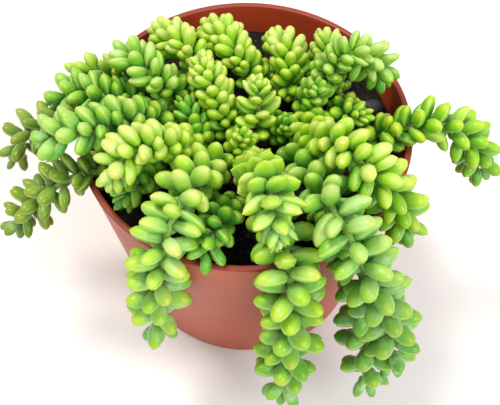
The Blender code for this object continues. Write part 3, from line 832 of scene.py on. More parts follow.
@dataclass
class LeafySpray:
    """All the leafy stems: stalks, and leaves in golden-angle spirals that give way to each other."""

    tip_reach: float = 12 * MM
    # Spacing and size of the leaves at an open tip and in a tight pale bud
    tip_pitch: tuple[float, float] = (0.75, 0.40)
    tip_leaf: tuple[float, float] = (0.66, 0.34)
    spread_tip: float = math.radians(24)
    # How far leaves have closed by the end of the stem proper, and how late those of the bud close and shrink
    closing: float = 0.15
    closing_power: float = 1.2
    shrink_power: float = 1.3
    # Share of full size at the foot, and chance in size, in spread and in turn (degrees)
    foot_leaf: float = 0.8
    size_chance: tuple[float, float] = (0.90, 1.06)
    spread_chance: float = 8
    turn_chance: float = 12
    # How far into the stalk a leaf is rooted, as a share of the stalk's radius
    seat: float = 0.6
    light_seeking: float = 0.5
    # From here on towards the tip the leaves are packed as in a bud, and may press on each other
    bud: float = 0.5
    # Bloom at the foot, what it gains towards the end of the stem, and in a pale bud
    foot_bloom: float = 0.2
    more_bloom: float = 1.2
    tip_bloom: float = 0.75
    # Sun, painted into the leaf's colour as light and shade: what an open sky gives a leaf, what height gives
    # it, and the heights in mm between which it grows
    sky_sun: float = 0.42
    high_sun: float = 0.40
    sun_heights: tuple[float, float] = (60, 135)
    stalk_radius: float = 1.6 * MM
    stalk_sides: int = 10
    stalk_step: int = 2
    # Girth of the stalk at its foot and what it loses to the tip; length past the first leaf that is corky
    foot_girth: float = 1.12
    girth_loss: float = 0.55
    corky: float = 4
    knob: float = 2.2 * MM
    swelling: float = 0.9 * MM
    cage_sides: int = 6
    cage_step: int = 4
    clearance: float = 0.15 * MM
    # Ways to bend a leaf clear: change of spread and turn in degrees, and share of its size
    bends: tuple[tuple[float, float, float], ...] = (
        (0, 0, 1.0), (0, 14, 1.0), (0, -14, 1.0), (-14, 0, 1.0), (12, 0, 1.0), (0, 26, 0.95),
        (0, -26, 0.95), (-26, 0, 0.95), (-14, 20, 0.92), (-14, -20, 0.92), (0, 0, 0.82),
        (-20, 28, 0.85), (-20, -28, 0.85), (0, 40, 0.8), (0, -40, 0.8), (-34, 0, 0.8),
        (0, 0, 0.66), (-20, 0, 0.6),
    )
    # Lean and turn in degrees of the lines along which a leaf may see the sky, and their length
    sky_lines: tuple[tuple[float, float], ...] = (
        (0, 0), (35, 30), (35, 120), (35, 210), (35, 300), (60, 75), (60, 165), (60, 255), (60, 345),
    )
    sky_reach: float = 60 * MM
    sky_start: float = 1.12
    obstacles: list[Obstacle] = field(default_factory=list)

    def fine_route(self, stem: Stem) -> np.ndarray:
        """Return points 1 mm apart from the stem's foot in the soil to its tip.

        Args:
            stem: the stem.

        Returns:
            The points, in metres.
        """
        x, y = (value * MM for value in stem.foot)
        foot = [(x, y, SOIL_LEVEL + lift) for lift in (-ROOT_DEPTH, -2 * MM, 3 * MM)]
        return smooth_route(foot + [tuple(value * MM for value in point) for point in stem.route], 1 * MM)

    def slots(self, stem: Stem) -> Iterator[LeafSlot]:
        """Yield the places of a stem's leaves, from foot to tip, closing to a bud at the tip.

        Args:
            stem: the stem.

        Returns:
            The places, one at a time.
        """
        fine = self.fine_route(stem)
        ahead = np.gradient(fine, axis=0)
        ahead /= np.linalg.norm(ahead, axis=1)[:, None]
        chance = random.Random(f"{stem.name}{SEED}")
        pitch = stem.pitch * MM
        tip_pitch = np.interp(stem.pale_tip, (0, 1), self.tip_pitch)
        tip_leaf = np.interp(stem.pale_tip, (0, 1), self.tip_leaf)
        reach = (len(fine) - 1) * MM
        walk = ROOT_DEPTH + stem.bare * MM
        side = Vector((1.0, 0.0, 0.0))
        walked = 0
        turn = 0.0
        while walk < reach:
            tipward = max(0.0, 1 - (reach - walk) / self.tip_reach)
            closing = self.closing * walk / reach + (1 - self.closing) * tipward ** self.closing_power
            spot = min(len(fine) - 1, round(walk / MM))
            for step in range(walked, spot + 1):
                tangent = Vector(ahead[step])
                side = (side - tangent * side.dot(tangent)).normalized()
            walked = spot
            size = stem.leaf_length * MM * (1 - (1 - tip_leaf) * tipward ** self.shrink_power)
            size *= min(1.0, self.foot_leaf + walk / reach) * chance.uniform(*self.size_chance)
            spread = math.radians(stem.spread + chance.uniform(-self.spread_chance, self.spread_chance))
            swing = math.radians(chance.uniform(-self.turn_chance, self.turn_chance))
            yield LeafSlot(
                Vector(fine[spot]), tangent.copy(), side.copy(), turn + swing,
                spread + (self.spread_tip - spread) * closing, size, tipward, walk / reach)
            walk += pitch * (1 - (1 - tip_pitch) * tipward)
            turn += GOLDEN_ANGLE

    def stand(self, stem: Stem, slot: LeafSlot, bend: tuple[float, float, float]) -> Matrix:
        """Place a leaf of unit length.

        Args:
            stem: the stem that it grows on.
            slot: where it wants to grow.
            bend: change of spread and turn in degrees, and share of its size.

        Returns:
            The matrix that puts it on its stalk, its flat side towards the tip of the stem.
        """
        more_spread, more_turn, share = bend
        spread = max(0.0, slot.spread + math.radians(more_spread))
        outward = Matrix.Rotation(slot.turn + math.radians(more_turn), 3, slot.tangent) @ slot.side
        axis = slot.tangent * math.cos(spread) + outward * math.sin(spread)
        axis.z += self.light_seeking * (1 - slot.tipward)
        axis.normalize()
        face = (slot.tangent - axis * axis.dot(slot.tangent)).normalized()
        basis = Matrix((face.cross(axis), face, axis)).transposed().to_4x4()
        start = self.stalk_radius * self.seat
        length = (slot.length - start) * share
        width = length * stem.plump
        size = Matrix.Diagonal((width, width * stem.thick, length, 1.0))
        return Matrix.Translation(slot.root + axis * start) @ basis @ size

    def tube(self, points: np.ndarray, radius: float) -> Cage:
        """Return the corners and faces of a plain tube along points, for the clearance test.

        Args:
            points: the tube's middle line.
            radius: its radius.

        Returns:
            The corners and the faces.
        """
        corners, faces = [], []
        sides = self.cage_sides
        for i, point in enumerate(points):
            ahead = Vector(points[min(i + 1, len(points) - 1)] - points[max(i - 1, 0)]).normalized()
            across = ahead.orthogonal().normalized()
            corners += [Vector(point) + Matrix.Rotation(math.tau * k / sides, 3, ahead) @ across * radius
                        for k in range(sides)]
            if i:
                for k in range(sides):
                    a, b = (i - 1) * sides + k, (i - 1) * sides + (k + 1) % sides
                    faces.append((a, b, b + sides, a + sides))
        return corners, faces

    def grow_leaves(self, stem: Stem, cage: Cage) -> list[GrownLeaf]:
        """Place a stem's leaves, each bent or shortened until it clears the rest.

        Args:
            stem: the stem.
            cage: corners and faces of a plain leaf of unit length.

        Returns:
            The leaves that found room.
        """
        others = [solid for solid in self.obstacles if solid.owner != stem.name]
        chance = random.Random(f"{stem.name}look{SEED}")
        corners, faces = cage
        heart = [Vector((x * HEART_WIDTH, y * HEART_WIDTH, HEART_MIDDLE + z * HEART_REACH))
                 for x, y, z in HEART_CORNERS]
        shapes = [i for i, shape in enumerate(LEAF_SHAPES) if shape.form is stem.form]
        grown, hearts, all_corners, all_faces = [], [], [], []
        for slot in self.slots(stem):
            look = [chance.random() for _ in range(3)]
            for bend in self.bends:
                place = self.stand(stem, slot, bend)
                moved = [place @ corner for corner in corners]
                probe = Obstacle(stem.name, moved, faces)
                core = Obstacle(stem.name, [place @ corner for corner in heart], HEART_FACES)
                if slot.tipward < self.bud and any(core.meets(solid) for solid in hearts[-NEIGHBOURS:]):
                    continue
                if any(probe.meets(solid) for solid in others):
                    continue
                hearts.append(core)
                waxed = min(1.0, self.foot_bloom + self.more_bloom * slot.share)
                bloom = stem.bloom * waxed * (0.5 + look[1]) + stem.pale_tip * slot.tipward * self.tip_bloom
                grown.append(GrownLeaf(place, shapes[int(look[0] * len(shapes))], bloom, look[2]))
                all_faces += [tuple(i + len(all_corners) for i in face) for face in faces]
                all_corners += moved
                break
        self.obstacles.append(Obstacle(stem.name, all_corners, all_faces))
        return grown

    def openness(self, leaf: GrownLeaf) -> float:
        """Return the share of lines from the leaf's tip to the sky that nothing blocks.

        Args:
            leaf: the leaf, in its place.

        Returns:
            A share from 0 to 1.
        """
        start = leaf.place @ Vector((0.0, 0.0, self.sky_start))
        free = 0
        for lean, turn in self.sky_lines:
            across = math.sin(math.radians(lean))
            line = Vector((across * math.cos(math.radians(turn)), across * math.sin(math.radians(turn)),
                           math.cos(math.radians(lean))))
            free += not any(solid.tree.ray_cast(start, line, self.sky_reach)[0] for solid in self.obstacles)
        return free / len(self.sky_lines)

    def leaf_points(self, name: str, stem: Stem, grown: list[GrownLeaf]) -> bpy.types.Object:
        """Keep the leaves' places and looks as one corner each, with attributes, outside the scene.

        Args:
            name: the name of the object that keeps them.
            stem: the stem.
            grown: its leaves.

        Returns:
            The object.
        """
        # Painted light and shade: a leaf with open sky, high up or on a sunlit stem is painted lighter, one
        # under other leaves darker
        sun = []
        for leaf in grown:
            rise = np.interp(leaf.place.to_translation().z / MM, self.sun_heights, (0.0, 1.0))
            share = stem.sunlit + self.sky_sun * self.openness(leaf) + self.high_sun * rise
            sun.append(min(1.0, max(0.0, share)))
        mesh = bpy.data.meshes.new(name)
        mesh.from_pydata([leaf.place.to_translation() for leaf in grown], [], [])
        put_attribute(mesh, "turn", "QUATERNION", [leaf.place.to_quaternion() for leaf in grown])
        put_attribute(mesh, "size", "FLOAT_VECTOR", [leaf.place.to_scale() for leaf in grown])
        put_attribute(mesh, "shape", "INT", np.array([leaf.shape for leaf in grown], np.int32))
        put_attribute(mesh, "leaf_sun", "FLOAT", sun)
        put_attribute(mesh, "leaf_bloom", "FLOAT", [leaf.bloom for leaf in grown])
        put_attribute(mesh, "leaf_chance", "FLOAT", [leaf.chance for leaf in grown])
        return bpy.data.objects.new(name, mesh)

    def stalk_line(self, stem: Stem) -> bpy.types.Mesh:
        """Return the stalk's middle line as a chain of edges, with its girth and age as attributes.

        Args:
            stem: the stem.

        Returns:
            The line as a mesh.
        """
        line = self.fine_route(stem)[::self.stalk_step]
        mesh = bpy.data.meshes.new(f"{stem.name}_line")
        mesh.from_pydata([tuple(point) for point in line], [(i, i + 1) for i in range(len(line) - 1)], [])
        share = np.linspace(0.0, 1.0, len(line))
        bare = (ROOT_DEPTH + (stem.bare + self.corky) * MM) / (self.stalk_step * MM * (len(line) - 1))
        put_attribute(mesh, "girth", "FLOAT", self.stalk_radius * (self.foot_girth - self.girth_loss * share))
        # Old and corky up to the first leaves, younger from there on
        put_attribute(mesh, "age", "FLOAT", np.clip(1.15 - 0.6 * share / bare, 0.0, 1.0))
        return mesh

    def make_tree(self, shapes: bpy.types.Collection, stalk: bpy.types.Material) -> GrowingTree:
        """Build the tree that sweeps the stalk along its line and sets a leaf at each place.

        Args:
            shapes: the leaf shapes.
            stalk: the stalk's material.

        Returns:
            The tree, ready to grow a stem.
        """
        growing = GrowingTree("leafy stem", Places="Object", Sides="Int", Swelling="Float", Skin="Material")
        tree, source = growing.tree, growing.source
        girth = add(tree, "GeometryNodeInputNamedAttribute", {"Name": "girth"}, data_type="FLOAT")
        line = add(tree, "GeometryNodeMeshToCurve", {0: source["Geometry"]})
        ring = add(tree, "GeometryNodeCurvePrimitiveCircle", {"Resolution": source["Sides"], "Radius": 1.0})
        tube = add(tree, "GeometryNodeCurveToMesh", {
            "Curve": line, "Profile Curve": ring, "Scale": girth, "Fill Caps": True})
        knobs = add(tree, "ShaderNodeTexNoise", {"Scale": 1 / self.knob, "Detail": 1.0})
        knob = add(tree, "ShaderNodeMath", {0: knobs, 1: 0.5}, operation="SUBTRACT")
        swell = add(tree, "ShaderNodeMath", {0: knob, 1: source["Swelling"]}, operation="MULTIPLY")
        facing = add(tree, "GeometryNodeInputNormal")
        push = add(tree, "ShaderNodeVectorMath", {0: facing, "Scale": swell}, operation="SCALE")
        gnarled = add(tree, "GeometryNodeSetPosition", {"Geometry": tube, "Offset": push})
        barked = add(tree, "GeometryNodeSetMaterial", {"Geometry": gnarled, "Material": stalk})

        places = add(tree, "GeometryNodeObjectInfo", {"Object": source["Places"]})
        box = add(tree, "GeometryNodeCollectionInfo", {
            "Collection": shapes, "Separate Children": True, "Reset Children": True})
        turn = add(tree, "GeometryNodeInputNamedAttribute", {"Name": "turn"}, data_type="QUATERNION")
        size = add(tree, "GeometryNodeInputNamedAttribute", {"Name": "size"}, data_type="FLOAT_VECTOR")
        shape = add(tree, "GeometryNodeInputNamedAttribute", {"Name": "shape"}, data_type="INT")
        leaves = add(tree, "GeometryNodeInstanceOnPoints", {
            "Points": places.outputs["Geometry"], "Instance": box, "Pick Instance": True,
            "Instance Index": shape, "Rotation": turn, "Scale": size})
        real = add(tree, "GeometryNodeRealizeInstances", {"Geometry": leaves})
        waxy = add(tree, "GeometryNodeSetMaterial", {"Geometry": real, "Material": source["Skin"]})
        whole = add(tree, "GeometryNodeJoinGeometry", {0: barked})
        tree.links.new(waxy.outputs[0], whole.inputs[0])
        growing.end(whole)
        return growing

    def build(self) -> None:
        """Grow every stem, in order, and settle each as one piece."""
        for node in ("pot", "soil"):
            mesh = frame["nodes"][node].data
            self.obstacles.append(Obstacle(
                node, [corner.co.copy() for corner in mesh.vertices],
                [tuple(face.vertices) for face in mesh.polygons]))
        for stem in STEMS:
            self.obstacles.append(Obstacle(
                stem.name,
                *self.tube(self.fine_route(stem)[::self.cage_step], self.stalk_radius + self.clearance)))
        cage_mesh = LeafShape(half_width=0.22, sides=self.cage_sides).mesh("leaf_cage")
        cage = [corner.co.copy() for corner in cage_mesh.vertices], [
            tuple(face.vertices) for face in cage_mesh.polygons]
        bpy.data.meshes.remove(cage_mesh)
        shapes = shape_box("leaf_shape", [shape.mesh("leaf") for shape in LEAF_SHAPES])
        growing = self.make_tree(shapes, StalkFinish().material())
        skins = {tone: finish.material() for tone, finish in LEAF_FINISHES.items()}
        leaves = {stem.name: self.grow_leaves(stem, cage) for stem in STEMS}
        for stem in STEMS:
            places = self.leaf_points(f"{stem.name}_places", stem, leaves[stem.name])
            piece = growing.grow(
                f"{stem.name}_grown", self.stalk_line(stem), Places=places, Sides=self.stalk_sides,
                Swelling=self.swelling, Skin=skins[stem.tone])
            bpy.data.objects.remove(places)
            settle(piece, stem.tone.value, stem.name)
        empty_box(shapes)
        LOG.info("%d leaves on %d stems", sum(map(len, leaves.values())), len(STEMS))


@dataclass
class PlasticPot:
    """The tapered pot: a turned wall with a rounded lip, a foot ring under it, and drain holes."""

    wall: float = 1.8 * MM
    floor: float = 2.2 * MM
    lip_width: float = 2.8 * MM
    lip_height: float = 4 * MM
    lip_blend: float = 5 * MM
    lip_round: float = 0.9 * MM
    foot_round: float = 1.2 * MM
    recess: float = 0.9 * MM
    foot_ring: float = 5 * MM
    # The round mark in the middle of the underside where the plastic ran into the mould
    gate_radius: float = 3.2 * MM
    gate_depth: float = 0.35 * MM
    drain_holes: int = 4
    drain_radius: float = 4 * MM
    drain_circle: float = 32 * MM
    around: int = 160
    sharpest: float = math.radians(38)

    def profile(self) -> list[tuple[float, float, float]]:
        """Return radius, height and insideness of points from the floor, over the lip, to the underside.

        Returns:
            The points, in order.
        """
        lip_inside = RIM_RADIUS - self.lip_width
        lip_foot = POT_HEIGHT - self.lip_height
        blend_foot = lip_foot - self.lip_blend
        corner = self.floor + self.foot_round
        points = [
            (0.0, self.floor, 1.0),
            (wall_radius(self.floor) - self.wall - self.foot_round, self.floor, 1.0),
            (wall_radius(corner) - self.wall, corner, 1.0),
        ]
        points += [(wall_radius(h) - self.wall, h, 1.0) for h in np.linspace(corner, blend_foot, 8)[1:]]
        for t in np.linspace(0.0, 1.0, 7)[1:]:
            ease = t * t * (3 - 2 * t)
            start = wall_radius(blend_foot) - self.wall
            points.append((start + (lip_inside - start) * ease, blend_foot + self.lip_blend * t, 1.0))
        top = POT_HEIGHT - self.lip_round
        for angle in np.linspace(0.0, math.pi / 2, 6):
            points.append((lip_inside + self.lip_round * (1 - math.cos(angle)),
                           top + self.lip_round * math.sin(angle), 1.0))
        for angle in np.linspace(0.0, math.pi / 2, 6):
            points.append((RIM_RADIUS - self.lip_round * (1 - math.sin(angle)),
                           top + self.lip_round * math.cos(angle), 0.75 - 0.75 * math.sin(angle)))
        points += [(wall_radius(h), h, 0.0) for h in np.linspace(top, self.foot_round, 26)[1:]]
        for angle in np.linspace(0.0, math.pi / 2, 5)[1:]:
            points.append((wall_radius(self.foot_round) - self.foot_round * (1 - math.cos(angle)),
                           self.foot_round * (1 - math.sin(angle)), 0.0))
        inner_foot = BASE_RADIUS - self.foot_ring
        points += [
            (inner_foot, 0.0, 0.0),
            (inner_foot - 0.4 * MM, self.recess, 0.0),
            (self.drain_circle + self.drain_radius + 3 * MM, self.recess, 0.0),
            (self.gate_radius, self.recess, 0.0),
            (self.gate_radius - 0.6 * MM, self.recess - self.gate_depth, 0.0),
            (0.0, self.recess - self.gate_depth, 0.0),
        ]
        return points

    def build(self) -> None:
        """Turn the wall, drill the drain holes and settle the pot."""
        body = bmesh.new()
        inside = body.verts.layers.float.new("inside")
        chain = []
        for radius, height, share in self.profile():
            corner = body.verts.new((radius, 0.0, height))
            corner[inside] = share
            chain.append(corner)
        edges = [body.edges.new(pair) for pair in zip(chain, chain[1:])]
        bmesh.ops.spin(body, geom=chain + edges, cent=(0, 0, 0), axis=(0, 0, 1), angle=math.tau,
                       steps=self.around, use_duplicate=False)
        bmesh.ops.remove_doubles(body, verts=body.verts, dist=0.01 * MM)
        bmesh.ops.recalc_face_normals(body, faces=body.faces)
        pot = new_object("pot_wall", mesh_of(body, "pot_wall"))

        pins = bmesh.new()
        for i in range(self.drain_holes):
            angle = math.tau * (i + 0.5) / self.drain_holes
            spot = Vector((math.cos(angle), math.sin(angle), 0.0)) * self.drain_circle
            bmesh.ops.create_cone(pins, cap_ends=True, segments=32, radius1=self.drain_radius,
                                  radius2=self.drain_radius, depth=4 * self.floor,
                                  matrix=Matrix.Translation(spot))
        cutter = new_object("drain_pins", mesh_of(pins, "drain_pins"))
        cut = pot.modifiers.new("drain", "BOOLEAN")
        cut.operation = "DIFFERENCE"
        cut.object = cutter
        graph = bpy.context.evaluated_depsgraph_get()
        drilled = bpy.data.meshes.new_from_object(
            pot.evaluated_get(graph), preserve_all_data_layers=True, depsgraph=graph)
        pot.modifiers.remove(cut)
        pot.data = drilled
        bpy.data.objects.remove(cutter)
        drilled.materials.clear()
        drilled.materials.append(PotFinish().material())
        drilled.shade_smooth()
        drilled.set_sharp_from_angle(angle=self.sharpest)
        settle(pot, "pot", "pot")


@dataclass(frozen=True)
class Litter:
    """Loose matter strewn over the soil: how thick it lies, how large it is and how far it may lean."""

    name: str
    shapes: str
    finish: EarthFinish
    per_square_mm: float
    smallest: float
    largest: float
    lean: float
    seed: int
    inset: float = 0.0


@dataclass
class PottingSoil:
    """A bed of damp peat with crumbs, grit, root fibres and a few stones on it."""

    mound: float = 1.5 * MM
    # Height and pitch of the unevenness at three scales, and the layer of the noise that it is taken from
    unevenness: tuple[tuple[float, float, float], ...] = (
        (1.2 * MM, 11 * MM, 0.5), (0.9 * MM, 3.6 * MM, 4.0), (0.5 * MM, 1.5 * MM, 9.0),
    )
    rings: int = 56
    around: int = 168
    # Rings crowd towards the edge by this power
    crowding: float = 0.9
    # How far the bed's edge keeps inside the pot's outer face, and the heights and insets of its lower rings
    bed_inset: float = 2.1 * MM
    lower_rings: tuple[tuple[float, float], ...] = ((88 * MM, 2.2 * MM), (2.6 * MM, 3.4 * MM))
    # How far all litter keeps inside the pot's outer face
    litter_inset: float = 3.4 * MM
    litters: tuple[Litter, ...] = (
        Litter("soil_crumbs", "crumb", CRUMBS, 0.34, 0.35 * MM, 1.25 * MM, 1.2, seed=3),
        Litter("soil_grit", "crumb", GRIT, 0.012, 0.3 * MM, 0.8 * MM, 1.2, seed=5),
        Litter("soil_fibres", "fibre", FIBRES, 0.028, 4 * MM, 12 * MM, 0.22, seed=8, inset=4 * MM),
    )
    # Centre (x, y), radius and height above the soil of the stones that lie in it, in mm
    stones: tuple[tuple[tuple[float, float], float, float], ...] = (
        ((55.8, 19.6), 5, 3.9), ((57, -6), 4.8, 3.4), ((-30, -52), 2.6, 1.6), ((28, 52), 3.2, 2.0),
        ((-8, 56), 2.4, 1.4), ((42, -44), 2.2, 1.2),
    )
    # Width and height of a stone as shares of its length, and its swellings and hollows
    stone_width: float = 0.86
    stone_height: float = 0.75
    stone_swell: float = 0.16

    def height(self, x: float, y: float) -> float:
        """Return the height of the soil's surface: a low mound, rough at three scales.

        Args:
            x: distance right of the middle.
            y: distance behind it.

        Returns:
            The height above the ground.
        """
        reach = math.hypot(x, y) / RIM_RADIUS
        level = SOIL_LEVEL + self.mound * (1 - reach * reach)
        for relief, pitch, layer in self.unevenness:
            level += relief * noise.noise(Vector((x / pitch, y / pitch, layer)))
        return level

    def bed(self) -> bpy.types.Object:
        """Build the bed as a closed body: a rough top, a wall against the pot and a flat underside.

        Returns:
            The finished object.
        """
        edge = wall_radius(SOIL_LEVEL) - self.bed_inset
        turns = [math.tau * k / self.around for k in range(self.around)]
        body = bmesh.new()
        rows = []
        for i in range(1, self.rings + 1):
            radius = edge * (i / self.rings) ** self.crowding
            spots = [(radius * math.cos(turn), radius * math.sin(turn)) for turn in turns]
            rows.append([body.verts.new((x, y, self.height(x, y))) for x, y in spots])
        for low, inset in self.lower_rings:
            radius = wall_radius(low) - inset
            rows.append([body.verts.new((radius * math.cos(turn), radius * math.sin(turn), low))
                         for turn in turns])
        top = body.verts.new((0.0, 0.0, self.height(0.0, 0.0)))
        bottom = body.verts.new((0.0, 0.0, low))
        for inner, outer in zip(rows, rows[1:]):
            for k in range(self.around):
                after = (k + 1) % self.around
                body.faces.new((inner[k], outer[k], outer[after], inner[after]))
        for k in range(self.around):
            after = (k + 1) % self.around
            body.faces.new((top, rows[0][k], rows[0][after]))
            body.faces.new((bottom, rows[-1][after], rows[-1][k]))
        bmesh.ops.recalc_face_normals(body, faces=body.faces)
        mesh = mesh_of(body, "soil_bed")
        put_attribute(mesh, "grain_chance", "FLOAT", np.full(len(mesh.vertices), 0.3))
        mesh.materials.append(PEAT.material())
        mesh.shade_smooth()
        return new_object("soil_bed", mesh)

    def surface_sheet(self, edge: float) -> bpy.types.Mesh:
        """Return the soil's top as an open sheet for things to be scattered on.

        Args:
            edge: the sheet's radius.

        Returns:
            The sheet.
        """
        sheet = bmesh.new()
        bmesh.ops.create_circle(sheet, cap_ends=True, radius=edge, segments=48)
        bmesh.ops.triangulate(sheet, faces=sheet.faces)
        bmesh.ops.subdivide_edges(sheet, edges=sheet.edges, cuts=12, use_grid_fill=True)
        for corner in sheet.verts:
            corner.co.z = self.height(corner.co.x, corner.co.y)
        return mesh_of(sheet, "soil_sheet")

    def scatter_tree(self) -> GrowingTree:
        """Build the tree that strews shapes over a sheet, each turned, sized and tinted by chance.

        Returns:
            The tree, ready to strew.
        """
        strewing = GrowingTree(
            "strew", Shapes="Collection", Density="Float", Smallest="Float", Largest="Float",
            Lean="Float", Seed="Int", Finish="Material")
        tree, source = strewing.tree, strewing.source
        spots = add(tree, "GeometryNodeDistributePointsOnFaces", {
            "Mesh": source["Geometry"], "Density": source["Density"], "Seed": source["Seed"]})
        box = add(tree, "GeometryNodeCollectionInfo", {
            "Collection": source["Shapes"], "Separate Children": True, "Reset Children": True})
        back = add(tree, "ShaderNodeMath", {0: source["Lean"], 1: -1.0}, operation="MULTIPLY")
        low = add(tree, "ShaderNodeCombineXYZ", {0: back, 1: back, 2: 0.0})
        high = add(tree, "ShaderNodeCombineXYZ", {0: source["Lean"], 1: source["Lean"], 2: math.tau})
        turn = add(tree, "FunctionNodeRandomValue", {
            0: low, 1: high, "Seed": source["Seed"]}, data_type="FLOAT_VECTOR")
        size = add(tree, "FunctionNodeRandomValue", {
            2: source["Smallest"], 3: source["Largest"], "Seed": source["Seed"]}, data_type="FLOAT")
        shape = add(tree, "FunctionNodeRandomValue", {4: 0, 5: 99, "Seed": source["Seed"]}, data_type="INT")
        strewn = add(tree, "GeometryNodeInstanceOnPoints", {
            "Points": spots, "Instance": box, "Pick Instance": True,
            "Instance Index": shape, "Rotation": turn, "Scale": size})
        chance = add(tree, "FunctionNodeRandomValue", {2: 0.0, 3: 1.0, "Seed": 7}, data_type="FLOAT")
        tinted = add(tree, "GeometryNodeStoreNamedAttribute", {
            "Geometry": strewn, "Name": "grain_chance", "Value": chance},
            data_type="FLOAT", domain="INSTANCE")
        real = add(tree, "GeometryNodeRealizeInstances", {"Geometry": tinted})
        coated = add(tree, "GeometryNodeSetMaterial", {"Geometry": real, "Material": source["Finish"]})
        strewing.end(coated)
        return strewing

    def lump(self, name: str, seed: int, squash: float, rough: float) -> bpy.types.Mesh:
        """Return a lump of unit radius: a knobbly ball, flattened by a share.

        Args:
            name: the mesh's name.
            seed: which lump of its kind.
            squash: its height as a share of its width.
            rough: how knobbly it is.

        Returns:
            The mesh.
        """
        ball = bmesh.new()
        bmesh.ops.create_icosphere(ball, subdivisions=1, radius=1.0)
        for corner in ball.verts:
            corner.co *= 1 + rough * noise.noise(corner.co * 1.7 + Vector((seed * 3.1, 0.0, 0.0)))
            corner.co.z *= squash
        return mesh_of(ball, name)

    def fibre(self, name: str, seed: int) -> bpy.types.Mesh:
        """Return a wiry root fibre of unit length that lies down and curls, three-sided and closed.

        Args:
            name: the mesh's name.
            seed: which fibre of its kind.

        Returns:
            The mesh.
        """
        chance = random.Random(f"fibre{seed}")
        heading, spot = 0.0, Vector((-0.5, 0.0, 0.0))
        strand = bmesh.new()
        rows = []
        joints = 8
        for i in range(joints):
            heading += chance.uniform(-0.5, 0.5)
            thick = 0.016 * (1 - 0.6 * i / (joints - 1))
            across = Vector((-math.sin(heading), math.cos(heading), 0.0))
            rows.append([
                strand.verts.new(spot + across * thick * math.cos(math.tau * k / 3)
                                 + Vector((0.0, 0.0, thick * math.sin(math.tau * k / 3))))
                for k in range(3)])
            spot = spot + Vector((math.cos(heading), math.sin(heading), chance.uniform(-0.3, 0.35))) / joints
        for first, second in zip(rows, rows[1:]):
            for k in range(3):
                strand.faces.new((first[k], first[(k + 1) % 3], second[(k + 1) % 3], second[k]))
        strand.faces.new(rows[0])
        strand.faces.new(rows[-1])
        bmesh.ops.recalc_face_normals(strand, faces=strand.faces)
        return mesh_of(strand, name)

    def stone(self, name: str, spot: tuple[float, float], radius: float, rise: float) -> bpy.types.Object:
        """Build a rounded stone half sunk in the soil.

        Args:
            name: the object's name.
            spot: its place, in mm.
            radius: its half length, in mm.
            rise: how far it stands out of the soil, in mm.

        Returns:
            The object.
        """
        ball = bmesh.new()
        bmesh.ops.create_icosphere(ball, subdivisions=4, radius=1.0)
        centre = Vector((spot[0] * MM, spot[1] * MM, 0.0))
        centre.z = self.height(centre.x, centre.y) + (rise - radius * self.stone_height) * MM
        for corner in ball.verts:
            swell = 1 + self.stone_swell * noise.noise(corner.co * 1.1 + centre * 900)
            flattened = Vector((corner.co.x, corner.co.y * self.stone_width, corner.co.z * self.stone_height))
            corner.co = centre + flattened * radius * MM * swell
        mesh = mesh_of(ball, name)
        put_attribute(mesh, "grain_chance", "FLOAT", np.full(len(mesh.vertices), 0.5))
        mesh.shade_smooth()
        return new_object(name, mesh)

    def build(self) -> None:
        """Build the bed and all that lies on it."""
        settle(self.bed(), "soil", "soil")
        edge = wall_radius(SOIL_LEVEL) - self.litter_inset
        strewing = self.scatter_tree()
        boxes = {
            "crumb": shape_box("crumb", [self.lump("crumb", i, squash=0.75, rough=0.9) for i in range(5)]),
            "fibre": shape_box("fibre", [self.fibre("fibre", i) for i in range(6)]),
        }
        for litter in self.litters:
            settle(strewing.grow(
                litter.name, self.surface_sheet(edge - litter.inset), Shapes=boxes[litter.shapes],
                Density=litter.per_square_mm / MM ** 2, Smallest=litter.smallest, Largest=litter.largest,
                Lean=litter.lean, Seed=litter.seed, Finish=litter.finish.material()), "soil")
        for box in boxes.values():
            empty_box(box)
        pebble = STONE.material()
        for i, (spot, radius, rise) in enumerate(self.stones):
            piece = self.stone(f"soil_stone_{i + 1}", spot, radius, rise)
            piece.data.materials.append(pebble)
            settle(piece, "soil")


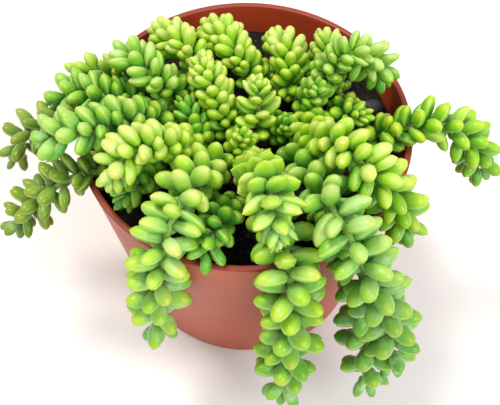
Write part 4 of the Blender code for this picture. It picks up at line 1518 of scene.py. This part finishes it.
@dataclass
class Studio:
    """A pale floor, soft light and the camera at the photograph's angle."""

    elevation: float = math.radians(57.48)
    target: tuple[float, float, float] = (1.8 * MM, -7.17 * MM, 60 * MM)
    distance: float = 441.38 * MM
    lens: float = 69.24
    sensor: float = 36.0
    floor_half: float = 3.0
    floor_colour: str = "#F6F6F5"
    sky_colour: str = "#FFFFFF"
    sky_strength: float = 0.66

    def camera(self) -> None:
        """Place the camera that looks down on the front of the pot."""
        data = bpy.data.cameras.new("camera")
        data.lens = self.lens
        data.sensor_width = self.sensor
        data.clip_start = 0.01
        camera = bpy.data.objects.new("camera", data)
        bpy.context.scene.collection.objects.link(camera)
        back = Vector((0.0, -math.cos(self.elevation), math.sin(self.elevation)))
        camera.location = Vector(self.target) + back * self.distance
        camera.rotation_euler = (math.pi / 2 - self.elevation, 0.0, 0.0)
        bpy.context.scene.camera = camera

    def softbox(self, name: str, spot: tuple[float, float, float], size: float, power: float,
                colour: str) -> None:
        """Hang a square soft light that faces the plant.

        Args:
            name: the light's name.
            spot: where it hangs, in metres.
            size: the length of its side.
            power: its power in watts.
            colour: its hex colour.
        """
        data = bpy.data.lights.new(name, "AREA")
        data.energy = power
        data.size = size
        data.color = linear(colour)[:3]
        light = bpy.data.objects.new(name, data)
        bpy.context.scene.collection.objects.link(light)
        light.location = spot
        aim = Vector((0.0, -0.01, 0.10)) - Vector(spot)
        light.rotation_euler = aim.to_track_quat("-Z", "Y").to_euler()

    def build(self) -> None:
        """Set the floor, the sky, the lights and the colour treatment."""
        floor = bmesh.new()
        bmesh.ops.create_grid(floor, x_segments=1, y_segments=1, size=self.floor_half)
        mesh = mesh_of(floor, "floor")
        material, tree = surface("matt paper sweep")
        paper = add(tree, "ShaderNodeBsdfPrincipled", {
            "Base Color": linear(self.floor_colour), "Roughness": 0.9})
        add(tree, "ShaderNodeOutputMaterial", {"Surface": paper})
        mesh.materials.append(material)
        new_object("floor", mesh)

        world = bpy.data.worlds.new("sky")
        world.use_nodes = True
        background = world.node_tree.nodes["Background"]
        background.inputs["Color"].default_value = linear(self.sky_colour)
        background.inputs["Strength"].default_value = self.sky_strength
        bpy.context.scene.world = world
        self.softbox("key", spot=(-0.9, 0.5, 3.0), size=0.8, power=56.0, colour="#FFF8EA")
        self.softbox("fill", spot=(1.6, -1.5, 2.1), size=1.4, power=44.0, colour="#FFFFFF")
        bpy.context.scene.view_settings.view_transform = "Standard"
        self.camera()


def main() -> None:
    """Build the studio, the pot, the soil and the stems."""
    logging.basicConfig(level=logging.INFO, format="%(name)s %(message)s")
    Studio().build()
    PlasticPot().build()
    PottingSoil().build()
    LeafySpray().build()


if __name__ == "__main__":
    main()
